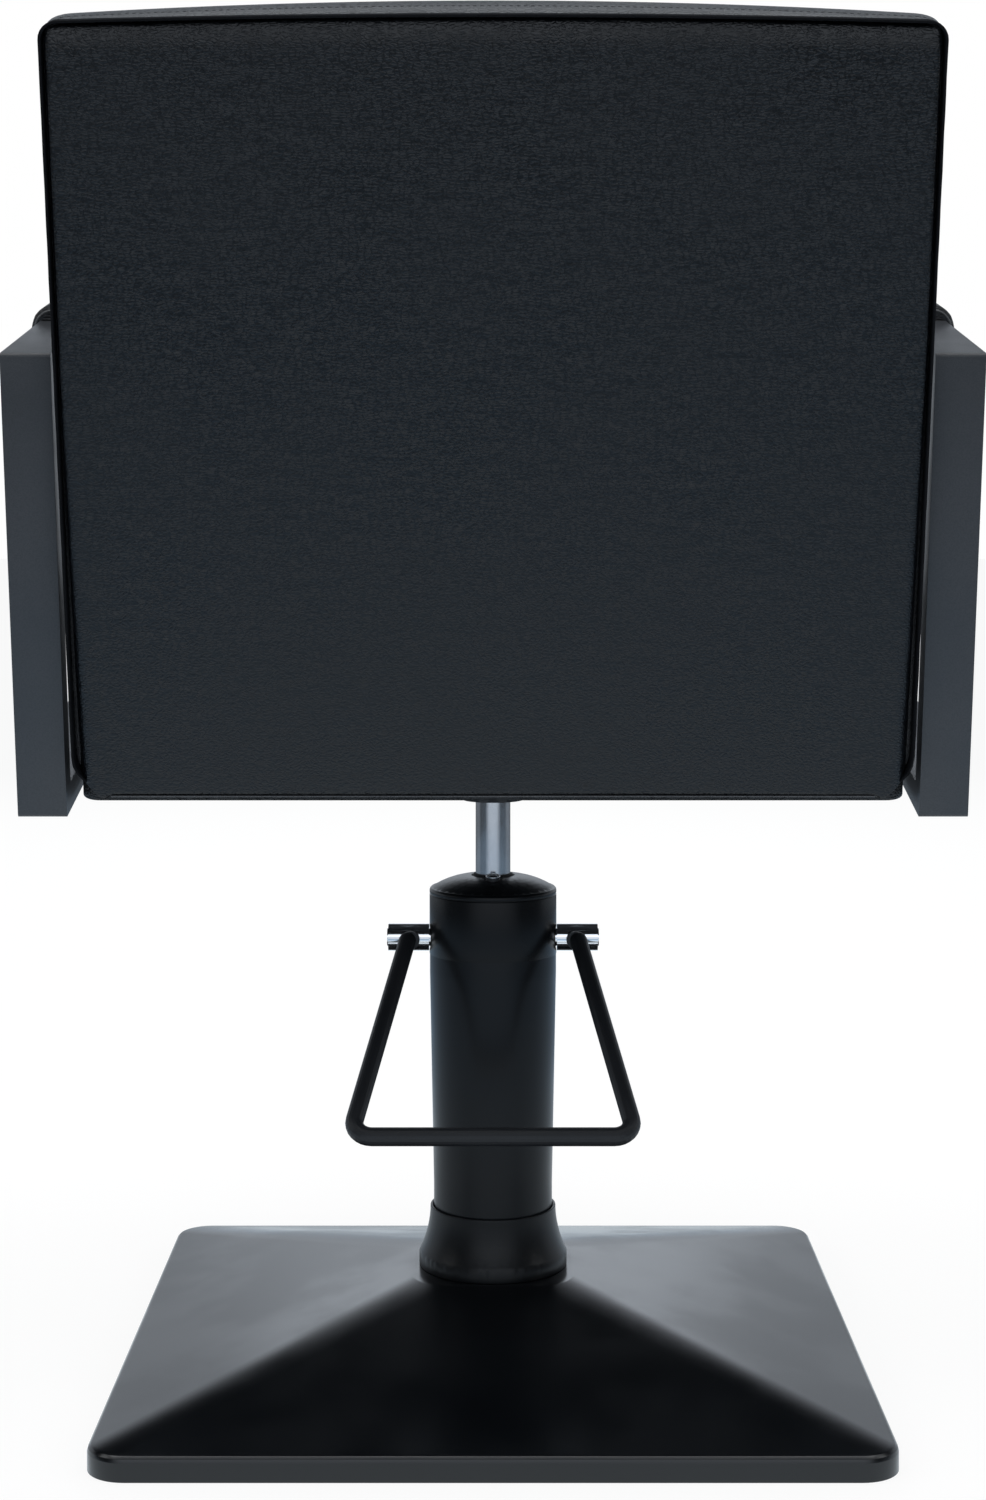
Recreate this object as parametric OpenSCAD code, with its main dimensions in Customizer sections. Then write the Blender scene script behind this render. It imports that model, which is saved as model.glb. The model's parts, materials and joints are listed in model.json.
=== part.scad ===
// Hairdressing chair on a hydraulic pump with a square base.
// Millimetres, +Z up, origin on the floor under the pump's axis.
// The sitter faces -Y, so the back stands at +Y and the left arm at +X.

/* [Base] */
// Side of the square base
base_w = 560; // [500:10:640]
// Corner radius of the base in plan
base_corner_r = 29; // [22:1:36]
// Height of the base's upright rim
rim_h = 18; // [14:1:24]
// Radius that rolls the rim into the slope
rim_roll_r = 5; // [3:0.5:7]
// Height of the base's flat crown
crown_h = 67; // [60:1:80]
// Width of the base's flat crown
crown_w = 124; // [122:1:140]
// Sheet thickness of the base cover
cover_sheet = 3; // [2:0.5:4]
// Thickness of the steel floor plate
plate_t = 8; // [6:1:10]
// Radius of an anti-slip pad
pad_r = 22; // [15:1:26]
// Thickness of an anti-slip pad
pad_t = 2.5; // [2:0.5:4]
// Inset of the anti-slip pads from the plate's edges
pad_inset = 48; // [40:1:70]
// Radius of the pump's foot flange
flange_r = 92; // [84:1:96]
// Thickness of the pump's foot flange
flange_t = 10; // [8:1:12]
// Pitch radius of the flange bolts
flange_bolt_pitch_r = 74; // [70:1:75]
// Number of flange bolts
flange_bolts_n = 6; // [4:1:8]
// Thread radius of a flange bolt
flange_bolt_r = 5; // [4:0.5:6]

/* [Collar] */
// Radius of the collar's skirt
collar_r = 58; // [56:0.5:60]
// Height of the collar's upright skirt
collar_skirt_h = 10; // [8:1:14]
// Height of the whole collar
collar_h = 46.5; // [40:0.5:54]
// Wall left at the collar's thin top lip
collar_lip = 2.2; // [1.6:0.2:3]

/* [Pump] */
// Radius of the housing at its foot
housing_foot_r = 46.5; // [45:0.5:48]
// Radius of the housing at its shoulder
housing_r = 49.7; // [49:0.1:51]
// Wall of the housing
housing_wall = 4; // [3:0.5:5]
// Height where the housing starts to widen
taper_low_h = 130; // [124:1:160]
// Distance below the seam where the housing reaches its full radius
taper_drop = 14.6; // [10:0.2:40]
// Height of the seam between housing and cap
seam_h = 311.6; // [306:0.2:330]
// Radius of the cap
cap_r = 50; // [49.5:0.1:51.5]
// Height of the cap's side
cap_side_h = 52; // [50:1:60]
// Rise of the cap's top towards the rod
dome_rise = 9; // [6:0.2:14]
// Wall of the cap
cap_wall = 6.8; // [6:0.1:7]
// Radius of the groove under the cap's rim
cap_groove_r = 0.8; // [0.5:0.1:1]
// Radius of the piston rod
rod_r = 13.7; // [13:0.1:14]
// Length of rod that shows above the cap in this position
rod_show = 59.4; // [50:0.2:90]
// Radius of the lift cylinder's bore
bore_r = 18; // [17.6:0.1:18.5]
// Wall of the lift cylinder
cylinder_wall = 4; // [3:0.2:4]
// Lowering travel from this position
lower_travel = 45; // [20:1:50]
// Raising travel from this position
raise_travel = 105; // [80:1:120]
// Height of the lift piston
piston_h = 30; // [24:1:36]
// Running clearance of shafts and pistons
running_gap = 0.05; // [0.02:0.01:0.08]

/* [Pedal] */
// Height of the pedal's pivot above the seam
pivot_rise = 11.8; // [11.4:0.1:13]
// Radius of the pivot shafts
shaft_r = 7; // [6:0.2:7.4]
// Half the distance across the shaft ends
shaft_end_x = 83.3; // [80:0.1:90]
// Radius of the bright sleeves
sleeve_r = 10.7; // [9.6:0.1:11.4]
// Step from a sleeve's end to the shaft's end
sleeve_step = 0.9; // [0.6:0.1:2]
// Radius of the pedal tube
pedal_r = 6.7; // [6:0.1:7.5]
// Half the distance between the pedal tube's upper ends
pedal_top_x = 67; // [66:0.5:72]
// Half the distance between the corners at the foot bar
pedal_bar_x = 103.4; // [90:0.2:115]
// Length of a pedal leg along its slope
pedal_len = 192; // [170:1:220]
// Slope of the pedal below level
pedal_slope = 37; // [30:1:40]
// Centre-line radius of the pedal's bends
pedal_bend_r = 13; // [10:1:30]
// Angle that the pedal is pressed down by
pedal_press = 25; // [15:1:25]
// Reach of the yoke inside the pump
yoke_reach = 30; // [28:0.5:30]

/* [Arms] */
// Lean of the arm loops and seat away from upright
seat_tilt = 12; // [6:0.5:14]
// Distance from the pump's axis back to the loops' rear feet
seat_setback = 216; // [190:1:230]
// Depth of an arm loop along its bars
loop_depth = 460; // [420:5:500]
// Height of an arm loop along its posts
loop_h = 330; // [300:5:360]
// Width of the arm tube
tube_w = 34.5; // [30:0.5:40]
// Thickness of the arm tube
tube_t = 20; // [18:0.5:25]
// Wall of the arm tube
tube_wall = 2; // [1.5:0.5:3]
// Outer corner radius of an arm loop
loop_corner_r = 2.5; // [1:0.5:5]
// Distance from the loop's rear face to the arm pad
pad_start = 160; // [130:5:180]
// Length of an arm pad
pad_len = 270; // [200:5:280]
// How far an arm pad overhangs each side of the tube
pad_side = 8; // [6:0.5:10]
// Thickness of an arm pad above the tube
pad_top = 12; // [10:0.5:18]
// Thickness of an arm pad below the tube
pad_under = 5; // [4:0.5:8]
// Corner radius along an arm pad's top
pad_round_r = 12; // [8:0.5:14]

/* [Seat] */
// Width of the seat
seat_w = 592; // [540:2:640]
// Gap between the seat's side and an arm loop
arm_gap = 4; // [3:0.5:8]
// Distance from the loops' rear face to the seat's front
seat_front = 500; // [480:5:540]
// Distance from the loops' rear face to the seat cushion's rear
seat_rear = 60; // [60:1:80]
// Thickness of the seat board
board_t = 18; // [15:1:21]
// Distance from the loops' rear face to the seat board's rear edge
board_rear = 40; // [34:1:50]
// Thickness of the seat cushion at its rear
cushion_t = 88; // [70:1:110]
// Crown of the seat cushion
seat_crown = 14; // [8:1:20]
// Height of the bracket between rod and seat board
bracket_h = 58; // [52:1:70]
// Side of the bracket's square plate
bracket_w = 190; // [160:5:220]
// Thickness of the bracket's plate
bracket_t = 6; // [5:0.5:8]

/* [Back] */
// Gap between the back's side and the line of the seat's side
back_side_gap = 3.5; // [2:0.5:20]
// Height of the back's seams along its slope
back_h = 536; // [480:2:600]
// Thickness of the whole back
back_t = 70; // [60:1:71]
// Thickness of the padded rear panel
rear_panel_t = 8; // [6:0.5:10]
// Thickness of the back board
back_board_t = 15; // [12:1:18]
// Lean of the back past the arm posts
back_lean = 3.5; // [0:0.5:5]
// Radius of the back's lower corners
back_low_r = 28; // [20:1:40]
// Radius of the back's upper corners
back_top_r = 14; // [8:1:24]
// Rise of the back's top edge at the middle
back_rise = 9; // [4:0.5:14]
// Crown of the back's front face
back_crown = 12; // [6:1:20]

/* [Hidden] */
$fn = 64;

// Overrun of every cut, gap round soft pieces and gap between moving faces
over = 1;
soft_gap = 0.3;
face_gap = 0.3;

// Base stack
cover_gap = 0.5;
plate_w = base_w - 2 * (cover_sheet + cover_gap);
flange_top_h = plate_t + flange_t;
bolt_head_share = 1.6;
bolt_head_h_share = 1.1;
flange_bolt_bite_share = 0.75;
flange_spigot_h = 6;
collar_steps = 8;

// Pump stack
cap_inner_r = cap_r - cap_wall;
housing_bore_r = housing_r - housing_wall;
cap_rim_h = seam_h + cap_side_h;
taper_high_h = seam_h - taper_drop;
cap_top_h = cap_rim_h + dome_rise;
spigot_h = 8;
spigot_r = housing_bore_r - running_gap;
cap_edge_r = 2.5;
dome_steps = 6;
dome_power = 2;
cap_groove_drop = 5;
cap_top_wall = 10;
wiper_wall = 3.4;
wiper_h = 3.5;
guide_wall = 3.4;
guide_r = rod_r + guide_wall;
guide_hub_wall = 5;
guide_foot_drop = 36;
wiper_lip = 1.4;
filler_r = 5.6;
filler_sink = 3;
filler_stand = 2;
filler_y = 24.2;
filler_hole_share = 0.62;
filler_lean = 10;
cylinder_r = bore_r + cylinder_wall;
cylinder_floor_t = 8;
cylinder_top_h = seam_h - spigot_h - 2 * cap_groove_r - 2 * over;
gland_lip_h = 3;
cylinder_floor_h = flange_top_h + cylinder_floor_t;
floor_margin = 4;
piston_foot_h = cylinder_floor_h + floor_margin + lower_travel;
piston_top_h = piston_foot_h + piston_h;
piston_r = bore_r - running_gap;
seal_h = 5;
seal_depth = 3;
bearing_t = 5;
bearing_r = 15;
rod_foot_h = piston_top_h + bearing_t;
gland_h = cylinder_top_h - rod_foot_h - raise_travel - face_gap;
spindle_r = 8;
spindle_len = 20;

// Pedal and plunger
pivot_h = seam_h + pivot_rise;
bush_wall = 3;
bush_r = shaft_r + running_gap + bush_wall;
bush_in_x = 33;
bush_boss_wall = 4;
bush_in_wall = 1;
yoke_in_x = 18;
yoke_t = 6;
yoke_hub_r = 10.5;
yoke_bar_r = 4;
yoke_end_r = 5;
yoke_rest = pedal_press / 2;
plunger_y = 32.5;
plunger_r = 5;
plunger_gap = 0.05;
plunger_head_r = 8.5;
plunger_head_h = 4;
plunger_top_h = pivot_h + yoke_reach * sin(yoke_rest) - yoke_bar_r - plunger_gap;
barrel_r = 9;
barrel_top_drop = 22;
barrel_top_h = seam_h - barrel_top_drop;
barrel_len = 84;
plunger_len = 90;
spring_wire_r = 0.9;
spring_coil_r = 6.6;
spring_turns = 5;
spring_steps = 10;
spring_sides = 6;
pedal_sides = 20;
bend_steps = 8;
boss_r = 7;
boss_offset_x = 2.5;
pedal_stand = sleeve_r + pedal_r - over;
pedal_flare = atan((pedal_bar_x - pedal_top_x) / pedal_len);

// Seat unit
hub_foot_h = cap_top_h + rod_show;
hub_r = 24;
hub_flare_r = 34;
hub_flare_share = 0.45;
rod_top_drop = 14;
seat_under_h = hub_foot_h + bracket_h;
loop_foot_h = seat_under_h - seat_setback * tan(seat_tilt);
bracket_y = -seat_setback / cos(seat_tilt);
bracket_corner_r = 14;
gusset_t = 6;
gusset_share = 0.42;
plate_bolt_share = 0.38;
plate_bolt_r = 4;
plate_bolt_bite = 14;
hub_bolt_r = 3;
hub_bolt_head_r = 5.2;
hub_bolt_x = 7.4;
hub_bolt_rise = 5.6;
hub_bolt_y = sqrt(pow(rod_r, 2) - pow(hub_bolt_x - hub_bolt_r, 2));
hub_bolt_head_h = 4;
dust_t = 1;
dust_margin = 12;
board_top = dust_t + board_t;
board_inset = 2;
board_corner_r = 20;
frame_in_x = seat_w / 2 + arm_gap;
frame_out_x = frame_in_x + tube_w;
spacer_r = 9;
frame_bolt_r = 4;
frame_bolt_head_r = 6.5;
frame_bolt_head_h = 5;
frame_bolt_recess = 6;
frame_bolt_bite = 30;
frame_sleeve_r = 9;
frame_bolt_shares = [0.24, 0.8];
vent_r = 2.5;
pad_end_r = 10;
pad_fit = 0.3;
seat_corner_r = 34;
seat_pull = 3;
seat_edge_r = 24;
seat_low_edge_r = 6;
seat_belly = 0.6;
seat_crown_reach = 130;
seat_front_share = 0.78;
seat_len = seat_front - seat_rear;

// Back unit
back_half_w = seat_w / 2 - back_side_gap;
back_foot_y = 12;
back_foot_rise = 20;
back_board_y = -rear_panel_t - soft_gap;
back_front_y = back_board_y - back_board_t - soft_gap;
back_board_inset = 7;
back_front_t = back_t + back_front_y;
back_edge_r = 17;
back_rear_edge_r = 3;
back_panel_edge_r = 5;
back_panel_crown = 1.5;
back_panel_reach = 60;
back_crown_reach = 120;
back_pull = 2;
back_belly = 1;
strap_x = 180;
strap_w = 40;
strap_t = 5;
strap_leg = 96;
strap_rise = 150;
strap_gap = 0.3;
strap_bolt_r = 3;
strap_bolt_head_r = 5.5;
strap_bolt_head_h = 3.5;
strap_bolt_bite = 11;
strap_board_bolt_shares = [0.2, 0.62];
strap_back_bolt_shares = [0.45, 0.85];
strap_y = back_front_y + soft_gap;
screw_x = 241;
screw_y = 16;
screw_head_r = 7;
screw_head_h = 4;
screw_r = 2.5;
screw_bite = 7;

// Cushion outline counts
corner_steps = 4;
edge_steps = 5;
roll_steps = 4;
crown_steps = 4;

// Shared shapes

// Rounded rectangle about the origin
module rounded_rect(w, d, r) {
    square([w - 2 * r, d], center = true);
    square([w, d - 2 * r], center = true);
    for (x = [-1, 1], y = [-1, 1])
        translate([x * (w / 2 - r), y * (d / 2 - r)]) circle(r);
}

// Flat plate with rounded corners, standing on z = 0
module slab(w, d, h, r) {
    linear_extrude(h) rounded_rect(w, d, r);
}

// Upright tube standing on z = 0
module tube(r_out, r_in, h) {
    difference() {
        cylinder(r = r_out, h = h);
        translate([0, 0, -over]) cylinder(r = r_in, h = h + 2 * over);
    }
}

// Outline drawn in Y and Z, drawn out along +X
module along_x(len) {
    rotate([90, 0, 90]) linear_extrude(len) children();
}

// Round bar along +X from the origin
module x_bar(r, len) {
    rotate([0, 90, 0]) cylinder(r = r, h = len);
}

// The piece and its mirror image across the middle plane
module both_sides() {
    children();
    mirror([1, 0, 0]) children();
}

// Frame of the seat and arm loops: y = 0 is the loops' rear face and z = 0 their underside
module seat_frame() {
    translate([0, seat_setback, loop_foot_h]) rotate([-seat_tilt, 0, 0]) children();
}

// Frame of the back: y = 0 is its rear face and z = 0 its lower edge
module back_frame() {
    seat_frame() translate([0, back_foot_y, back_foot_rise]) rotate([-back_lean, 0, 0]) children();
}

// Cushion outlines

function arc_points(centre, r, start) =
    [for (i = [0 : corner_steps])
        let (a = start + 90 * i / corner_steps) centre + r * [cos(a), sin(a)]];

function bowed_points(a, b, bow) =
    let (run = b - a, side = [run[1], -run[0]] / norm(run))
    [for (i = [1 : edge_steps - 1])
        a + run * i / edge_steps + side * bow * sin(180 * i / edge_steps)];

// Outline with its lower edge at y = 0; r and bow hold the values for [low, side, top]
function cushion_outline(w, h, low_r, top_r, bow, inset) =
    let (
        x = w / 2 - inset, y0 = inset, y1 = h - inset,
        rl = max(low_r - inset, over), rt = max(top_r - inset, over)
    )
    concat(
        arc_points([x - rl, y0 + rl], rl, -90),
        bowed_points([x, y0 + rl], [x, y1 - rt], bow[1]),
        arc_points([x - rt, y1 - rt], rt, 0),
        bowed_points([x - rt, y1], [rt - x, y1], bow[2]),
        arc_points([rt - x, y1 - rt], rt, 90),
        bowed_points([-x, y1 - rt], [-x, y0 + rl], bow[1]),
        arc_points([rl - x, y0 + rl], rl, 180),
        bowed_points([rl - x, y0], [x - rl, y0], bow[0])
    );

// Inset and depth of each ring, from the flat side to the crowned side
function cushion_rings(t, low_edge, top_edge, belly, crown, reach) =
    concat(
        [for (i = [0 : roll_steps / 2])
            let (a = 180 * i / roll_steps) [low_edge * (1 - sin(a)), low_edge * (1 - cos(a))]],
        [[-belly, (low_edge + t - crown - top_edge) / 2]],
        [for (i = [0 : roll_steps])
            let (a = 90 * i / roll_steps)
            [top_edge * (1 - cos(a)), t - crown - top_edge * (1 - sin(a))]],
        [for (i = [1 : crown_steps])
            let (s = i / crown_steps) [top_edge + reach * s, t - crown + crown * sin(90 * s)]]
    );

// Faces of a stack of equal rings, closed by a fan at each end
function stack_faces(n, rings) =
    let (low = n * rings, high = low + 1, last = n * (rings - 1))
    concat(
        [for (k = [0 : rings - 2], i = [0 : n - 1])
            [k * n + i, (k + 1) * n + i, (k + 1) * n + (i + 1) % n]],
        [for (k = [0 : rings - 2], i = [0 : n - 1])
            [k * n + i, (k + 1) * n + (i + 1) % n, k * n + (i + 1) % n]],
        [for (i = [0 : n - 1]) [low, i, (i + 1) % n]],
        [for (i = [0 : n - 1]) [high, last + (i + 1) % n, last + i]]
    );

// Crowned cushion; thinning is the share of the depth that is left at y = 0
module cushion(w, h, low_r, top_r, bow, rings, thin_share) {
    count = len(rings);
    outlines = [for (ring = rings) cushion_outline(w, h, low_r, top_r, bow, ring[0])];
    points = concat(
        [for (k = [0 : count - 1], p = outlines[k])
            [p[0], p[1], rings[k][1] * (thin_share + (1 - thin_share) * p[1] / h)]],
        [for (k = [0, count - 1])
            [0, h / 2, rings[k][1] * (1 + thin_share) / 2]]
    );
    polyhedron(points, stack_faces(len(outlines[0]), count), convexity = 4);
}

// Base

// Solid of the base's outer form, drawn in on all sides
module base_form(inset) {
    half = base_w - 2 * inset;
    r = base_corner_r - inset;
    rim = rim_h - inset;
    roll = rim_roll_r;
    hull() {
        slab(half, half, rim - roll, r, $fn = 48);
        for (a = [30, 60, 90])
            translate([0, 0, rim - roll]) {
                w = half - 2 * roll * (1 - cos(a));
                slab(w, w, roll * sin(a), r - roll * (1 - cos(a)), $fn = 48);
            }
        translate([0, 0, rim]) slab(crown_w, crown_w, crown_h - inset - rim, r, $fn = 48);
    }
}

module base_cover() {
    color("#15171a")
        difference() {
            base_form(0);
            translate([0, 0, -over]) slab(plate_w + 2 * cover_gap, plate_w + 2 * cover_gap,
                plate_t + over, base_corner_r - cover_sheet);
            base_form(cover_sheet);
            cylinder(r = housing_foot_r + cover_gap, h = crown_h + over);
        }
}

module base_plate() {
    pad_xy = plate_w / 2 - pad_inset;
    color("#2b2d30")
        difference() {
            slab(plate_w, plate_w, plate_t, base_corner_r - cover_sheet - cover_gap);
            for (x = [-1, 1], y = [-1, 1])
                translate([x * pad_xy, y * pad_xy, -over]) cylinder(r = pad_r, h = pad_t + over);
            flange_bolt_places() translate([0, 0, plate_t * (1 - flange_bolt_bite_share)])
                cylinder(r = flange_bolt_r, h = plate_t);
        }
}

module anti_slip_pads() {
    pad_xy = plate_w / 2 - pad_inset;
    color("#1c1c1c")
        for (x = [-1, 1], y = [-1, 1])
            translate([x * pad_xy, y * pad_xy, 0]) cylinder(r = pad_r, h = pad_t);
}

module flange_bolt_places() {
    for (i = [0 : flange_bolts_n - 1])
        rotate(360 * (i + 0.5) / flange_bolts_n) translate([flange_bolt_pitch_r, 0, 0]) children();
}

module pump_flange() {
    color("#33363a")
        difference() {
            union() {
                translate([0, 0, plate_t]) cylinder(r = flange_r, h = flange_t);
                translate([0, 0, flange_top_h])
                    tube(housing_foot_r - housing_wall, cylinder_r, flange_spigot_h);
            }
            flange_bolt_places() translate([0, 0, plate_t - over])
                cylinder(r = flange_bolt_r, h = flange_t + 2 * over);
        }
}

module flange_bolts() {
    shank = flange_t + plate_t * flange_bolt_bite_share;
    color("#9aa0a6")
        flange_bolt_places() {
            translate([0, 0, flange_top_h - shank]) cylinder(r = flange_bolt_r, h = shank);
            translate([0, 0, flange_top_h])
                cylinder(r = flange_bolt_r * bolt_head_share, h = flange_bolt_r * bolt_head_h_share,
                    $fn = 6);
        }
}

module base_collar() {
    inner = housing_foot_r + cover_gap;
    neck = inner + collar_lip;
    skirt = collar_skirt_h;
    flare_h = collar_h - skirt;
    color("#17191c")
        translate([0, 0, crown_h])
            rotate_extrude($fn = 96)
                polygon(concat(
                    [[inner, 0], [collar_r, 0], [collar_r, skirt]],
                    [for (i = [1 : collar_steps])
                        let (s = i / collar_steps)
                        [neck + (collar_r - neck) * pow(1 - s, 2), skirt + flare_h * s]],
                    [[inner, collar_h]]
                ));
}

// Pump

module pump_housing() {
    color("#141619")
        rotate_extrude($fn = 96)
            polygon([
                [housing_foot_r, flange_top_h],
                [housing_foot_r, taper_low_h],
                [housing_r, taper_high_h],
                [housing_r, seam_h],
                [housing_bore_r, seam_h],
                [housing_bore_r, taper_high_h],
                [housing_foot_r - housing_wall, taper_low_h],
                [housing_foot_r - housing_wall, flange_top_h]
            ]);
}

module cap_outline() {
    hub_r_out = guide_r + guide_hub_wall;
    top_in_h = cap_rim_h - cap_top_wall;
    neck_r = rod_r + wiper_wall;
    dome_run = cap_r - cap_edge_r - neck_r;
    polygon(concat(
        [
            [cap_inner_r, seam_h - spigot_h],
            [spigot_r, seam_h - spigot_h],
            [spigot_r, seam_h],
            [cap_r, seam_h]
        ],
        [for (a = [0 : 30 : 90])
            [cap_r - cap_edge_r * (1 - cos(a)), cap_rim_h - cap_edge_r * (1 - sin(a))]],
        [for (i = [1 : dome_steps])
            let (s = i / dome_steps)
            [neck_r + dome_run * (1 - s), cap_rim_h + dome_rise * (1 - pow(1 - s, dome_power))]],
        [
            [neck_r, cap_top_h - wiper_h],
            [guide_r, cap_top_h - wiper_h],
            [guide_r, cap_top_h - guide_foot_drop],
            [hub_r_out, cap_top_h - guide_foot_drop],
            [hub_r_out, top_in_h],
            [cap_inner_r, top_in_h]
        ]
    ));
}

module pump_cap() {
    boss_in = bush_r + bush_boss_wall;
    color("#121417")
        difference() {
            union() {
                rotate_extrude($fn = 96) cap_outline();
                intersection() {
                    cylinder(r = cap_r - over, h = cap_rim_h);
                    both_sides() translate([bush_in_x, 0, pivot_h]) x_bar(boss_in, cap_r - bush_in_x);
                    translate([-cap_r, -cap_r, seam_h]) cube([2 * cap_r, 2 * cap_r, cap_side_h]);
                }
            }
            both_sides() translate([bush_in_x - over, 0, pivot_h]) x_bar(bush_r, cap_r);
            translate([0, 0, cap_rim_h - cap_groove_drop])
                rotate_extrude($fn = 96) translate([cap_r, 0]) circle(cap_groove_r, $fn = 16);
            filler_place() cylinder(r = filler_r, h = filler_sink * 2, center = true);
        }
}

module lift_cylinder() {
    color("#6f757b")
        translate([0, 0, flange_top_h])
            difference() {
                cylinder(r = cylinder_r, h = cylinder_top_h - flange_top_h);
                translate([0, 0, cylinder_floor_t]) cylinder(r = bore_r, h = cylinder_top_h);
            }
}

module cylinder_gland() {
    color("#b08d4a")
        translate([0, 0, cylinder_top_h - gland_h])
            difference() {
                union() {
                    cylinder(r = bore_r, h = gland_h);
                    translate([0, 0, gland_h]) cylinder(r = cylinder_r, h = gland_lip_h);
                }
                translate([0, 0, -over])
                    cylinder(r = rod_r + running_gap, h = gland_h + gland_lip_h + 2 * over);
            }
}

module rod_guide_bush() {
    color("#b08d4a")
        translate([0, 0, cap_top_h - guide_foot_drop])
            tube(guide_r, rod_r + running_gap, guide_foot_drop - wiper_h);
}

module rod_wiper() {
    color("#0c0d0e")
        translate([0, 0, cap_top_h - wiper_h])
            difference() {
                union() {
                    cylinder(r = rod_r + wiper_wall, h = wiper_h);
                    cylinder(r1 = rod_r + wiper_wall, r2 = rod_r + wiper_lip,
                        h = wiper_h + wiper_lip);
                }
                translate([0, 0, -over])
                    cylinder(r = rod_r + running_gap, h = wiper_h + 2 * over + wiper_lip);
            }
}

// Place of the oil filler plug on the cap's slope, just behind the rod
module filler_place() {
    reach = (filler_y - rod_r - wiper_wall) / (cap_r - cap_edge_r - rod_r - wiper_wall);
    translate([0, filler_y, cap_top_h - dome_rise * pow(reach, dome_power)])
        rotate([-filler_lean, 0, 0]) children();
}

module filler_plug() {
    color("#d5d8da")
        filler_place() difference() {
            translate([0, 0, -filler_sink]) cylinder(r = filler_r, h = filler_sink + filler_stand);
            cylinder(r = filler_r * filler_hole_share, h = filler_stand + over, $fn = 6);
        }
}

module pivot_bushes() {
    color("#b08d4a")
        both_sides() translate([bush_in_x, 0, pivot_h]) rotate([0, 90, 0])
            tube(bush_r, shaft_r + running_gap, cap_r - bush_in_wall - bush_in_x);
}

module pump_barrel() {
    color("#7c8288")
        translate([0, plunger_y, barrel_top_h - barrel_len])
            difference() {
                cylinder(r = barrel_r, h = barrel_len);
                translate([0, 0, barrel_len - plunger_len + cylinder_floor_t])
                    cylinder(r = plunger_r + running_gap, h = plunger_len);
            }
}

// Pedal

module pivot_shafts() {
    color("#c7cacd")
        both_sides() translate([yoke_in_x, 0, pivot_h]) x_bar(shaft_r, shaft_end_x - yoke_in_x);
}

module pivot_sleeves() {
    start = cap_r + face_gap;
    color("#dfe2e4")
        both_sides() translate([start, 0, pivot_h]) rotate([0, 90, 0])
            tube(sleeve_r, shaft_r, shaft_end_x - sleeve_step - start);
}

module pedal_bosses() {
    color("#17191c")
        difference() {
            both_sides() translate([pedal_top_x - boss_offset_x, 0, pivot_h])
                rotate([-90, 0, 0]) cylinder(r = boss_r, h = pedal_stand);
            both_sides() translate([cap_r, 0, pivot_h]) x_bar(sleeve_r, shaft_end_x);
            both_sides() pedal_plane() leg_cutter();
        }
}

// Plane of the pedal: x across, y down the slope
module pedal_plane() {
    translate([0, pedal_stand, pivot_h]) rotate([-pedal_slope, 0, 0]) children();
}

// Round leg with a round upper end, for cutting the boss to fit it
module leg_cutter() {
    translate([pedal_top_x, 0, 0]) rotate([0, 0, -pedal_flare]) {
        sphere(r = pedal_r);
        rotate([-90, 0, 0]) cylinder(r = pedal_r, h = pedal_len / 2);
    }
}

// Stations along the pedal tube in its plane: place, heading and share of the tube's radius
function pedal_stations() =
    let (
        half_angle = 45 - pedal_flare / 2,
        reach = pedal_bend_r / sin(half_angle),
        cx = pedal_bar_x - reach * cos(half_angle),
        cy = pedal_len - reach * sin(half_angle),
        down = 90 - pedal_flare,
        tip = pedal_r * [cos(down), sin(down)],
        start = [for (a = [80, 60, 40, 20, 0])
            [[pedal_top_x, 0] - tip * sin(a), down, cos(a)]],
        bend = [for (i = [0 : bend_steps])
            let (a = -pedal_flare + (90 + pedal_flare) * i / bend_steps)
            [[cx, cy] + pedal_bend_r * [cos(a), sin(a)], a + 90, 1]],
        half = concat(start, bend)
    )
    concat(half, [for (i = [len(half) - 1 : -1 : 0])
        [[-half[i][0][0], half[i][0][1]], 360 - half[i][1], half[i][2]]]);

// Bent tube with round ends, as one ring of points at each station
module pedal_tube() {
    stations = pedal_stations();
    count = len(stations);
    points = [for (s = stations, i = [0 : pedal_sides - 1])
        let (a = 360 * i / pedal_sides, r = pedal_r * s[2])
        [s[0][0] - r * cos(a) * sin(s[1]), s[0][1] + r * cos(a) * cos(s[1]), r * sin(a)]];
    tips = [for (x = [1, -1])
        [x * (pedal_top_x - pedal_r * sin(pedal_flare)), -pedal_r * cos(pedal_flare), 0]];
    polyhedron(concat(points, tips), stack_faces(pedal_sides, count), convexity = 6);
}

module pedal_loop() {
    color("#141619")
        difference() {
            pedal_plane() pedal_tube();
            both_sides() translate([cap_r, 0, pivot_h]) x_bar(sleeve_r, shaft_end_x);
        }
}

// Fork on the two shafts, whose cross bar pushes the plunger down
module pedal_yoke() {
    color("#8b9197")
        translate([0, 0, pivot_h]) rotate([yoke_rest, 0, 0])
            difference() {
                union() {
                    both_sides() translate([yoke_in_x, 0, 0]) {
                        x_bar(yoke_hub_r, yoke_t);
                        translate([0, yoke_reach, 0]) x_bar(yoke_end_r, yoke_t);
                        along_x(yoke_t) polygon([
                            [0, yoke_hub_r - over], [yoke_reach, yoke_end_r - over / 2],
                            [yoke_reach, over / 2 - yoke_end_r], [0, over - yoke_hub_r]
                        ]);
                    }
                    translate([-yoke_in_x - over, yoke_reach, 0])
                        x_bar(yoke_bar_r, 2 * (yoke_in_x + over));
                }
                both_sides() translate([yoke_in_x - over, 0, 0]) x_bar(shaft_r, yoke_t + 2 * over);
            }
}

// Plunger

module pump_plunger() {
    color("#b9bdc1")
        translate([0, plunger_y, plunger_top_h]) {
            translate([0, 0, -plunger_head_h]) cylinder(r = plunger_head_r, h = plunger_head_h);
            translate([0, 0, -plunger_len]) cylinder(r = plunger_r, h = plunger_len);
        }
}

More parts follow.
